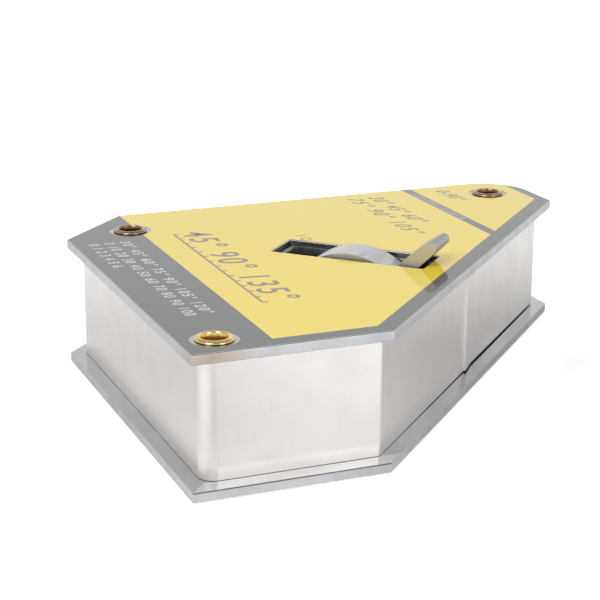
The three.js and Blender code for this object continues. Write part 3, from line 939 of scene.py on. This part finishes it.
    warm_frame = nodes.new("NodeFrame")
    warm_frame.label = "warm stain at one corner"
    warm_place = nodes.new("ShaderNodeMapping")
    warm_place.label = "where the stain sits"
    warm_place.vector_type = "TEXTURE"
    warm_place.inputs["Location"].default_value = warm_spot
    warm_place.inputs["Scale"].default_value = (0.013, 0.013, 0.013)
    warm_pool = nodes.new("ShaderNodeTexGradient")
    warm_pool.label = "fading outwards"
    warm_pool.gradient_type = "SPHERICAL"
    warm_share = nodes.new("ShaderNodeMath")
    warm_share.label = "how warm"
    warm_share.operation = "MULTIPLY"
    warm_share.inputs[1].default_value = 0.75
    warmed = nodes.new("ShaderNodeMix")
    warmed.label = "straw-coloured stain"
    warmed.data_type = "RGBA"
    warmed.inputs["B"].default_value = (0.5, 0.37, 0.27, 1)

    rough_frame = nodes.new("NodeFrame")
    rough_frame.label = "how blurred it mirrors"
    rough_stain = nodes.new("ShaderNodeMapRange")
    rough_stain.label = "stains are duller"
    rough_stain.inputs["To Min"].default_value = roughness
    rough_stain.inputs["To Max"].default_value = roughness + gloss_swing
    rough_grain = nodes.new("ShaderNodeMath")
    rough_grain.label = "grain breaks the gloss"
    rough_grain.operation = "MULTIPLY_ADD"
    rough_grain.inputs[1].default_value = gloss_swing * 0.6
    rough_scratch = nodes.new("ShaderNodeMath")
    rough_scratch.label = "scratches are duller"
    rough_scratch.operation = "MULTIPLY_ADD"
    rough_scratch.inputs[1].default_value = 0.25

    relief_frame = nodes.new("NodeFrame")
    relief_frame.label = "relief"
    pits = nodes.new("ShaderNodeTexNoise")
    pits.label = "small pits"
    pits.inputs["Scale"].default_value = 1400.0
    pits.inputs["Detail"].default_value = 3.0
    pit_relief = nodes.new("ShaderNodeBump")
    pit_relief.label = "pit depth"
    pit_relief.inputs["Strength"].default_value = 0.5
    pit_relief.inputs["Distance"].default_value = pit_height * MM
    grain_relief = nodes.new("ShaderNodeBump")
    grain_relief.label = "grain depth"
    grain_relief.inputs["Strength"].default_value = 0.6
    grain_relief.inputs["Distance"].default_value = grain_height * MM
    scratch_relief = nodes.new("ShaderNodeBump")
    scratch_relief.label = "scratch depth"
    scratch_relief.invert = True
    scratch_relief.inputs["Strength"].default_value = 0.3
    scratch_relief.inputs["Distance"].default_value = scratch_depth * MM

    for group, left, height, members in (
        (warm_frame, 200, 650, (warm_place, warm_pool, warm_share, warmed)),
        (grain_frame, -1100, 300, (grain_stretch, grain, grain_range)),
        (stain_frame, -850, -50, (stain_wide, stain_ramp, stain_share)),
        (scratch_frame, -1100, -450, (scratch_stretch, scratch, scratch_ramp, scratch_share)),
        (wear_frame, -850, -800, (edges, wear_ramp, wear_share)),
        (speck_frame, -850, -1100, (speck, speck_ramp, speck_share, marks)),
        (speck_frame, -850, -1400, (speck_patch, speck_gather)),
        (colour_frame, 0, 150, (tone, streaked, specked, worn)),
        (rough_frame, 0, -200, (rough_stain, rough_grain, rough_scratch)),
        (relief_frame, 0, -550, (pits, pit_relief, grain_relief, scratch_relief)),
    ):
        for step, member in enumerate(members):
            member.parent = group
            member.location = (left + NODE_STEP * step, height)

    links.new(place.outputs["Object"], grain_stretch.inputs["Vector"])
    links.new(grain_stretch.outputs["Vector"], grain.inputs["Vector"])
    links.new(grain.outputs["Fac"], grain_range.inputs["Value"])
    links.new(place.outputs["Object"], stain_wide.inputs["Vector"])
    links.new(stain_wide.outputs["Fac"], stain_ramp.inputs["Fac"])
    links.new(stain_ramp.outputs["Color"], stain_share.inputs[0])
    links.new(place.outputs["Object"], scratch_stretch.inputs["Vector"])
    links.new(scratch_stretch.outputs["Vector"], scratch.inputs["Vector"])
    links.new(scratch.outputs["Fac"], scratch_ramp.inputs["Fac"])
    links.new(scratch_ramp.outputs["Color"], scratch_share.inputs[0])
    links.new(place.outputs["Object"], speck.inputs["Vector"])
    links.new(speck.outputs["Distance"], speck_ramp.inputs["Fac"])
    links.new(place.outputs["Object"], speck_patch.inputs["Vector"])
    links.new(speck_patch.outputs["Fac"], speck_gather.inputs["Value"])
    links.new(speck_ramp.outputs["Color"], speck_share.inputs[0])
    links.new(speck_gather.outputs["Result"], speck_share.inputs[1])
    links.new(edges.outputs["Pointiness"], wear_ramp.inputs["Fac"])
    links.new(wear_ramp.outputs["Color"], wear_share.inputs[0])
    links.new(stain_share.outputs["Value"], tone.inputs["Factor"])
    links.new(tone.outputs["Result"], streaked.inputs["A"])
    links.new(grain_range.outputs["Result"], streaked.inputs["B"])
    links.new(streaked.outputs["Result"], specked.inputs["A"])
    links.new(scratch_share.outputs["Value"], marks.inputs[0])
    links.new(speck_share.outputs["Value"], marks.inputs[2])
    links.new(marks.outputs["Value"], specked.inputs["Factor"])
    links.new(specked.outputs["Result"], worn.inputs["A"])
    links.new(wear_share.outputs["Value"], worn.inputs["Factor"])
    links.new(place.outputs["Object"], warm_place.inputs["Vector"])
    links.new(warm_place.outputs["Vector"], warm_pool.inputs["Vector"])
    links.new(warm_pool.outputs["Fac"], warm_share.inputs[0])
    links.new(warm_share.outputs["Value"], warmed.inputs["Factor"])
    links.new(worn.outputs["Result"], warmed.inputs["A"])
    links.new(warmed.outputs["Result"], metal.inputs["Base Color"])
    links.new(stain_ramp.outputs["Color"], rough_stain.inputs["Value"])
    links.new(grain_range.outputs["Result"], rough_grain.inputs[0])
    links.new(rough_stain.outputs["Result"], rough_grain.inputs[2])
    links.new(scratch_share.outputs["Value"], rough_scratch.inputs[0])
    links.new(rough_grain.outputs["Value"], rough_scratch.inputs[2])
    links.new(rough_scratch.outputs["Value"], metal.inputs["Roughness"])
    links.new(place.outputs["Object"], pits.inputs["Vector"])
    links.new(pits.outputs["Fac"], pit_relief.inputs["Height"])
    links.new(grain_range.outputs["Result"], grain_relief.inputs["Height"])
    links.new(pit_relief.outputs["Normal"], grain_relief.inputs["Normal"])
    links.new(scratch_share.outputs["Value"], scratch_relief.inputs["Height"])
    links.new(grain_relief.outputs["Normal"], scratch_relief.inputs["Normal"])
    links.new(scratch_relief.outputs["Normal"], metal.inputs["Normal"])
    links.new(metal.outputs["BSDF"], output.inputs["Surface"])
    return material


def label_laminate(name, ink, faded_ink, gloss):
    """Ink under a clear glossy film, with faint print mottle, finger smears and film ripple."""
    material = fresh_material(name)
    nodes = material.node_tree.nodes
    links = material.node_tree.links

    output = nodes.new("ShaderNodeOutputMaterial")
    output.label = "laminate surface"
    output.location = (1100, 0)
    film = nodes.new("ShaderNodeBsdfPrincipled")
    film.label = name
    film.location = (800, 0)
    film.inputs["IOR"].default_value = 1.52

    place = nodes.new("ShaderNodeTexCoord")
    place.label = "place on the label"
    place.location = (-900, 0)

    ink_frame = nodes.new("NodeFrame")
    ink_frame.label = "printed ink"
    mottle = nodes.new("ShaderNodeTexNoise")
    mottle.label = "print mottle"
    mottle.inputs["Scale"].default_value = 900.0
    mottle.inputs["Detail"].default_value = 4.0
    fading = nodes.new("ShaderNodeTexNoise")
    fading.label = "uneven fading"
    fading.inputs["Scale"].default_value = 22.0
    fading.inputs["Detail"].default_value = 3.0
    fading_share = nodes.new("ShaderNodeMapRange")
    fading_share.label = "how faded"
    fading_share.inputs["From Min"].default_value = 0.35
    fading_share.inputs["From Max"].default_value = 0.7
    fading_share.inputs["To Max"].default_value = 0.35
    ink_tone = nodes.new("ShaderNodeMix")
    ink_tone.label = "full ink to faded ink"
    ink_tone.data_type = "RGBA"
    ink_tone.inputs["A"].default_value = (*ink, 1)
    ink_tone.inputs["B"].default_value = (*faded_ink, 1)
    mottle_tone = nodes.new("ShaderNodeMix")
    mottle_tone.label = "mottle in the ink"
    mottle_tone.data_type = "RGBA"
    mottle_tone.blend_type = "SOFT_LIGHT"
    mottle_tone.inputs["Factor"].default_value = 0.08

    gloss_frame = nodes.new("NodeFrame")
    gloss_frame.label = "finger smears in the gloss"
    smears = nodes.new("ShaderNodeTexNoise")
    smears.label = "smears"
    smears.inputs["Scale"].default_value = 60.0
    smears.inputs["Detail"].default_value = 6.0
    smears.inputs["Distortion"].default_value = 1.2
    smear_range = nodes.new("ShaderNodeMapRange")
    smear_range.label = "smeared film is duller"
    smear_range.inputs["From Min"].default_value = 0.45
    smear_range.inputs["From Max"].default_value = 0.75
    smear_range.inputs["To Min"].default_value = gloss
    smear_range.inputs["To Max"].default_value = gloss + 0.09

    ripple_frame = nodes.new("NodeFrame")
    ripple_frame.label = "film ripple"
    ripple = nodes.new("ShaderNodeTexNoise")
    ripple.label = "slow ripple"
    ripple.inputs["Scale"].default_value = 90.0
    ripple.inputs["Detail"].default_value = 2.0
    ripple_relief = nodes.new("ShaderNodeBump")
    ripple_relief.label = "ripple height"
    ripple_relief.inputs["Strength"].default_value = 0.25
    ripple_relief.inputs["Distance"].default_value = 0.03 * MM

    for group, left, height, members in (
        (ink_frame, -400, 300, (mottle, mottle_tone)),
        (ink_frame, -650, 50, (fading, fading_share, ink_tone)),
        (gloss_frame, -650, -300, (smears, smear_range)),
        (ripple_frame, -650, -600, (ripple, ripple_relief)),
    ):
        for step, member in enumerate(members):
            member.parent = group
            member.location = (left + NODE_STEP * step, height)

    links.new(place.outputs["Object"], mottle.inputs["Vector"])
    links.new(place.outputs["Object"], fading.inputs["Vector"])
    links.new(place.outputs["Object"], smears.inputs["Vector"])
    links.new(place.outputs["Object"], ripple.inputs["Vector"])
    links.new(fading.outputs["Fac"], fading_share.inputs["Value"])
    links.new(fading_share.outputs["Result"], ink_tone.inputs["Factor"])
    links.new(ink_tone.outputs["Result"], mottle_tone.inputs["A"])
    links.new(mottle.outputs["Fac"], mottle_tone.inputs["B"])
    links.new(mottle_tone.outputs["Result"], film.inputs["Base Color"])
    links.new(smears.outputs["Fac"], smear_range.inputs["Value"])
    links.new(smear_range.outputs["Result"], film.inputs["Roughness"])
    links.new(ripple.outputs["Fac"], ripple_relief.inputs["Height"])
    links.new(ripple_relief.outputs["Normal"], film.inputs["Normal"])
    links.new(film.outputs["BSDF"], output.inputs["Surface"])
    return material


ROLLED_FACE = worked_metal(
    "rolled_plate_face", (0.47, 0.47, 0.47), (0.35, 0.35, 0.345), 0.13, (60, 420, 60), 0.002,
    grain_tone=0.06, stain_amount=0.3, scratch_amount=0.15, speck_amount=0.5, gloss_swing=0.06)
# Lighter tone for the lower plate's front ledge: a painted reflection of the band above it.
LEDGE_PAINTED_REFLECTION = worked_metal(
    "ledge_painted_reflection", (0.7, 0.7, 0.7), (0.5, 0.5, 0.5), 0.13, (60, 420, 60), 0.002,
    grain_tone=0.1, stain_amount=0.3, scratch_amount=0.15, speck_amount=0.8, gloss_swing=0.06)
SHEARED_EDGE = worked_metal(
    "sheared_plate_edge", (0.6, 0.605, 0.625), (0.43, 0.43, 0.445), 0.36, (1500, 1500, 110), 0.02,
    grain_tone=0.16, stain_amount=0.35, stain_size=120.0, scratch_amount=0.1, speck_amount=0.6,
    warm_spot=(LEFT + 5 * MM, FRONT, CASE_TOP - MM))
# Near-black: on the slot's walls dark scale with painted shade, on the lower plate's front edge
# line painted shade.
DARK_SCALE_AND_PAINTED_SHADE = worked_metal(
    "dark_scale_and_painted_shade", (0.17, 0.17, 0.175), (0.07, 0.07, 0.07), 0.29, (900, 900, 90), 0.01,
    edge_wear=0.1)
BAND_SHEET_METAL = worked_metal(
    "band_sheet", (0.7, 0.68, 0.667), (0.5, 0.47, 0.457), 0.285, (25, 25, 420), 0.0006,
    grain_tone=0.11, stain_amount=0.75, stain_size=110.0, scratch_amount=0.6,
    scratch_size=(1900, 1900, 60), scratch_depth=0.004, scratch_tone=0.9, speck_amount=0.55,
    speck_scale=340.0, speck_radius=(0.05, 0.14), gloss_swing=0.06,
    pit_height=0.001, edge_wear=0.8)
CAST_ZINC = worked_metal(
    "cast_zinc", (0.62, 0.615, 0.61), (0.53, 0.525, 0.5), 0.52, (1300, 1300, 1300), 0.006,
    grain_tone=0.08, stain_amount=0.08, stain_size=320.0, scratch_amount=0.1, speck_amount=0.3,
    gloss_swing=0.02, pit_height=0.02, edge_wear=0.8)
GROUND_ZINC = worked_metal(
    "ground_zinc", (0.47, 0.465, 0.44), (0.38, 0.375, 0.35), 0.45, (1300, 1300, 1300), 0.006,
    grain_tone=0.08, stain_amount=0.25, stain_size=320.0, scratch_amount=0.15, speck_amount=0.3,
    gloss_swing=0.05, pit_height=0.02, edge_wear=0.9)
# Darker zinc for the thumb lip, worn by handling, and for the arm's underside, where it is
# painted shade.
HANDLED_ZINC_AND_PAINTED_SHADE = worked_metal(
    "lip_wear_and_painted_shade_zinc", (0.38, 0.38, 0.385), (0.24, 0.24, 0.24), 0.45, (1300, 1300, 1300), 0.006,
    grain_tone=0.1, stain_amount=0.4, stain_size=320.0, scratch_amount=0.2, speck_amount=0.4,
    gloss_swing=0.08, pit_height=0.02, edge_wear=0.8)
# Near-white for the seam's cut edge: bare cut steel brightened to a painted highlight.
CUT_EDGE_PAINTED_HIGHLIGHT = worked_metal(
    "cut_edge_painted_highlight", (0.97, 0.96, 0.95), (0.9, 0.89, 0.88), 0.5, (400, 400, 400), 0.001,
    grain_tone=0.02, stain_amount=0.1, scratch_amount=0.05, speck_amount=0.0, edge_wear=0.0)
BRIGHT_BRASS = worked_metal(
    "bright_brass", (0.86, 0.64, 0.27), (0.5, 0.32, 0.1), 0.13, (700, 700, 60), 0.002,
    stain_amount=0.4, stain_size=300.0, scratch_amount=0.1, gloss_swing=0.06, pit_height=0.002)
# Brown brass for the two rivets further back: tarnish and a painted dark reflection; their bores
# darker still, tarnish and painted shade inside the hole.
TARNISHED_BRASS_PAINTED_REFLECTION = worked_metal(
    "tarnished_brass_painted_reflection", (0.46, 0.32, 0.22), (0.25, 0.15, 0.09), 0.2, (700, 700, 60), 0.002,
    stain_amount=0.5, stain_size=300.0, scratch_amount=0.1, gloss_swing=0.03, pit_height=0.003)
BORE_BRASS = worked_metal(
    "bore_brass", (0.85, 0.55, 0.2), (0.5, 0.28, 0.1), 0.285, (700, 700, 60), 0.002,
    stain_amount=0.5, stain_size=300.0, pit_height=0.004)
TARNISHED_BORE_PAINTED_SHADE = worked_metal(
    "tarnished_bore_painted_shade", (0.22, 0.11, 0.05), (0.12, 0.055, 0.025), 0.2, (700, 700, 60), 0.002,
    stain_amount=0.5, stain_size=300.0, gloss_swing=0.03, pit_height=0.003)
LINER_SHEET = worked_metal(
    "liner_sheet", (0.4, 0.4, 0.405), (0.2, 0.2, 0.2), 0.3, (400, 400, 40), 0.006,
    edge_wear=0.6)
# Near-black for the well below its lit top: painted shade.
LINER_PAINTED_SHADE = worked_metal(
    "liner_painted_shade", (0.025, 0.025, 0.026), (0.015, 0.015, 0.015), 0.5, (400, 400, 40), 0.006,
    edge_wear=0.1)
GROUND_STEEL = worked_metal(
    "ground_steel", (0.5, 0.51, 0.53), (0.3, 0.3, 0.31), 0.29, (1200, 60, 1200), 0.004)
POLE_IRON = worked_metal(
    "milled_pole_iron", (0.36, 0.37, 0.39), (0.2, 0.2, 0.2), 0.42, (80, 700, 80), 0.008)
MAGNET_BLACK = worked_metal(
    "ground_magnet", (0.1, 0.1, 0.11), (0.05, 0.05, 0.05), 0.5, (700, 90, 700), 0.01,
    metallic=0.4)
BEARING_BRONZE = worked_metal(
    "turned_bronze", (0.5, 0.3, 0.13), (0.3, 0.17, 0.08), 0.3, (900, 900, 900), 0.004)
DISC_BRASS = worked_metal(
    "sawn_brass", (0.7, 0.5, 0.2), (0.4, 0.26, 0.1), 0.34, (700, 90, 700), 0.008)

YELLOW_PRINT = label_laminate(
    "yellow_print", (0.8, 0.6, 0.035), (0.82, 0.64, 0.07), 0.03)
GREY_PRINT = label_laminate(
    "grey_print", (0.08, 0.082, 0.085), (0.105, 0.107, 0.11), 0.03)
FILM_EDGE = label_laminate(
    "film_edge", (0.62, 0.62, 0.63), (0.55, 0.55, 0.56), 0.1)
GREY_INK = label_laminate(
    "grey_ink", (0.17, 0.145, 0.1), (0.21, 0.18, 0.13), 0.05)
WHITE_INK = label_laminate(
    "white_ink", (0.62, 0.62, 0.62), (0.5, 0.5, 0.5), 0.05)


# ---------------------------------------------------------------------------
# The object
# ---------------------------------------------------------------------------

hand_over(
    pole_plate("lower_pole_plate", BOTTOM_PLATE_LOW.z, BOTTOM_PLATE_HIGH.z - BOTTOM_PLATE_LOW.z,
               False),
    "case", "plate_steel", "bottom_plate")
hand_over(
    pole_plate("upper_pole_plate", TOP_PLATE_LOW.z, TOP_PLATE_HIGH.z - TOP_PLATE_LOW.z, True),
    "case", "plate_steel", "top_plate")
hand_over(closing_band(), "case", "band_steel", "side_band")
hand_over(printed_label(), "case", "label_print", "top_label")
# The two rivets further back are browned: tarnish and a painted dark reflection, with painted
# shade in their bores.
for node, finish, bore_finish, bore_from in (
    ("rivet_front", BRIGHT_BRASS, BORE_BRASS, -0.8 * MM),
    ("rivet_clipped_corner", TARNISHED_BRASS_PAINTED_REFLECTION, TARNISHED_BORE_PAINTED_SHADE, 0.6 * MM),
    ("rivet_nose", TARNISHED_BRASS_PAINTED_REFLECTION, TARNISHED_BORE_PAINTED_SHADE, 0.6 * MM),
):
    rivet = hollow_rivet(f"hollow_{node}", middle_of(node), finish, bore_finish, bore_from)
    hand_over(rivet, "case", "rivet_brass", node)
label_prints()
hand_over(lever_well(), "case", "well_steel", "lever_well")
hand_over(cast_lever(), "switch", "lever_zinc", "lever")

INNER_FINISHES = {
    "key_pin": GROUND_STEEL,
    "shaft": GROUND_STEEL,
    "clip": GROUND_STEEL,
    "disc": DISC_BRASS,
    "split_bar": DISC_BRASS,
    "rotor_pole": POLE_IRON,
    "pole_block": POLE_IRON,
    "magnet": MAGNET_BLACK,
    "bearing_block": POLE_IRON,
    "bearing_bush": BEARING_BRONZE,
}
for node_name, node_object in frame["nodes"].items():
    for word, finish in INNER_FINISHES.items():
        if word in node_name:
            give(node_object, finish)


# ---------------------------------------------------------------------------
# Studio
# ---------------------------------------------------------------------------

FLOOR_SIZE = 12
FLOOR_DROP = 0.0005
WALL_LIGHT = 1.0
CEILING_LIGHT = 0.45
CAMERA_PLACE = (-0.18959, -0.40673, 0.15885)
CAMERA_ELEVATION = 16.959
CAMERA_AZIMUTH = -22.304
CAMERA_ROLL = 0.301
CAMERA_LENS = 101.14

# Each pool of painted shade on the paper: where it is, its middle, its turn in degrees, its reach
# and the tone of the painted shade there.
FLOOR_PAINTED_SHADE_POOLS = (
    ("before the near corner", (-0.076, -0.12), 0, (0.063, 0.063), (0.34, 0.34, 0.34)),
    ("beside the diagonal side", (0.06, -0.01), 45, (0.13, 0.06), (0.28, 0.275, 0.27)),
    ("beside the left side", (-0.11, 0.03), 0, (0.06, 0.13), (0.5, 0.49, 0.48)),
)


def studio_floor_material():
    """White paper with three pools of painted shade, lifted to white where it is looked at
    directly.
    """
    material = fresh_material("studio_floor")
    nodes = material.node_tree.nodes
    links = material.node_tree.links

    output = nodes.new("ShaderNodeOutputMaterial")
    output.label = "floor surface"
    output.location = (1000, 0)
    place = nodes.new("ShaderNodeTexCoord")
    place.label = "place on the floor"
    place.location = (-900, 100)
    paper = nodes.new("ShaderNodeBsdfDiffuse")
    paper.label = "white paper"
    paper.location = (500, 100)

    paper_tone = None
    for row, (side, middle, turn, reach, painted_shade_tone) in enumerate(FLOOR_PAINTED_SHADE_POOLS):
        pool_frame = nodes.new("NodeFrame")
        pool_frame.label = f"dim pool {side}"
        pool_place = nodes.new("ShaderNodeMapping")
        pool_place.label = "where the pool lies"
        pool_place.vector_type = "TEXTURE"
        pool_place.inputs["Location"].default_value = (*middle, 0)
        pool_place.inputs["Rotation"].default_value = (0, 0, math.radians(turn))
        pool_place.inputs["Scale"].default_value = (*reach, 1)
        pool = nodes.new("ShaderNodeTexGradient")
        pool.label = "fading outwards"
        pool.gradient_type = "SPHERICAL"
        # Each pool darkens the paper: painted shade, which the metal of the case mirrors.
        dim = nodes.new("ShaderNodeMix")
        dim.label = "dim the paper"
        dim.data_type = "RGBA"
        dim.inputs["A"].default_value = (0.9, 0.9, 0.895, 1)
        dim.inputs["B"].default_value = (*painted_shade_tone, 1)
        for step, member in enumerate((pool_place, pool, dim)):
            member.parent = pool_frame
            member.location = (NODE_STEP * (step - 2), 500 - 350 * row)
        links.new(place.outputs["Object"], pool_place.inputs["Vector"])
        links.new(pool_place.outputs["Vector"], pool.inputs["Vector"])
        links.new(pool.outputs["Fac"], dim.inputs["Factor"])
        if paper_tone:
            links.new(paper_tone, dim.inputs["A"])
        paper_tone = dim.outputs["Result"]
    links.new(paper_tone, paper.inputs["Color"])

    lift_frame = nodes.new("NodeFrame")
    lift_frame.label = "white lifted to the eye"
    seen = nodes.new("ShaderNodeLightPath")
    seen.label = "looked at directly"
    glow = nodes.new("ShaderNodeMath")
    glow.label = "how far the white is lifted"
    glow.operation = "MULTIPLY_ADD"
    glow.inputs[1].default_value = 0.55
    glow.inputs[2].default_value = 0.15
    lift = nodes.new("ShaderNodeEmission")
    lift.label = "lifted white"
    both = nodes.new("ShaderNodeAddShader")
    both.label = "paper and lift"
    for step, member in enumerate((seen, glow, lift, both)):
        member.parent = lift_frame
        member.location = (NODE_STEP * step, -600)
    links.new(seen.outputs["Is Camera Ray"], glow.inputs[0])
    links.new(glow.outputs["Value"], lift.inputs["Strength"])
    links.new(paper.outputs["BSDF"], both.inputs[0])
    links.new(lift.outputs["Emission"], both.inputs[1])
    links.new(both.outputs["Shader"], output.inputs["Surface"])
    return material


def studio_world():
    """Pale walls all round and a dimmer ceiling."""
    world = bpy.data.worlds.new("studio")
    world.use_nodes = True
    nodes = world.node_tree.nodes
    links = world.node_tree.links
    room = nodes["Background"]
    room.label = "light from the room"
    direction = nodes.new("ShaderNodeTexCoord")
    direction.label = "direction"
    direction.location = (-900, 0)
    height = nodes.new("ShaderNodeSeparateXYZ")
    height.label = "height above the horizon"
    height.location = (-700, 0)
    fade = nodes.new("ShaderNodeMapRange")
    fade.label = "walls to ceiling"
    fade.location = (-500, 0)
    fade.interpolation_type = "SMOOTHSTEP"
    fade.inputs["From Min"].default_value = 0.35
    fade.inputs["From Max"].default_value = 0.8
    fade.inputs["To Min"].default_value = WALL_LIGHT
    fade.inputs["To Max"].default_value = CEILING_LIGHT
    links.new(direction.outputs["Generated"], height.inputs["Vector"])
    links.new(height.outputs["Z"], fade.inputs["Value"])
    links.new(fade.outputs["Result"], room.inputs["Strength"])
    room.inputs["Color"].default_value = (1.0, 1.0, 1.0, 1)
    return world


def softbox(name, place, size, power):
    """A round soft light that faces the object."""
    bpy.ops.object.light_add(type="AREA", location=place)
    light = bpy.context.object
    light.name = name
    light.data.shape = "DISK"
    light.data.size = size
    light.data.energy = power
    light.rotation_euler = (-Vector(place)).to_track_quat("-Z", "Y").to_euler()


bpy.ops.mesh.primitive_plane_add(size=FLOOR_SIZE, location=(0, 0, -FLOOR_DROP))
floor = bpy.context.object
floor.name = "studio_floor"
give(floor, studio_floor_material())

scene = bpy.context.scene
scene.view_settings.view_transform = "Standard"
scene.view_settings.look = "None"
scene.world = studio_world()
softbox("left_softbox", (-0.55, -0.30, 0.80), 0.5, 4.0)
softbox("right_softbox", (0.28, -0.62, 0.55), 0.4, 1.2)

camera_data = bpy.data.cameras.new("camera")
camera_data.lens = CAMERA_LENS
camera_data.sensor_width = 36
camera = bpy.data.objects.new("camera", camera_data)
scene.collection.objects.link(camera)
camera.location = CAMERA_PLACE
aim = (
    Matrix.Rotation(math.radians(CAMERA_AZIMUTH), 3, "Z")
    @ Matrix.Rotation(math.radians(90 - CAMERA_ELEVATION), 3, "X")
    @ Matrix.Rotation(math.radians(CAMERA_ROLL), 3, "Z")
)
camera.rotation_euler = aim.to_euler()
scene.camera = camera
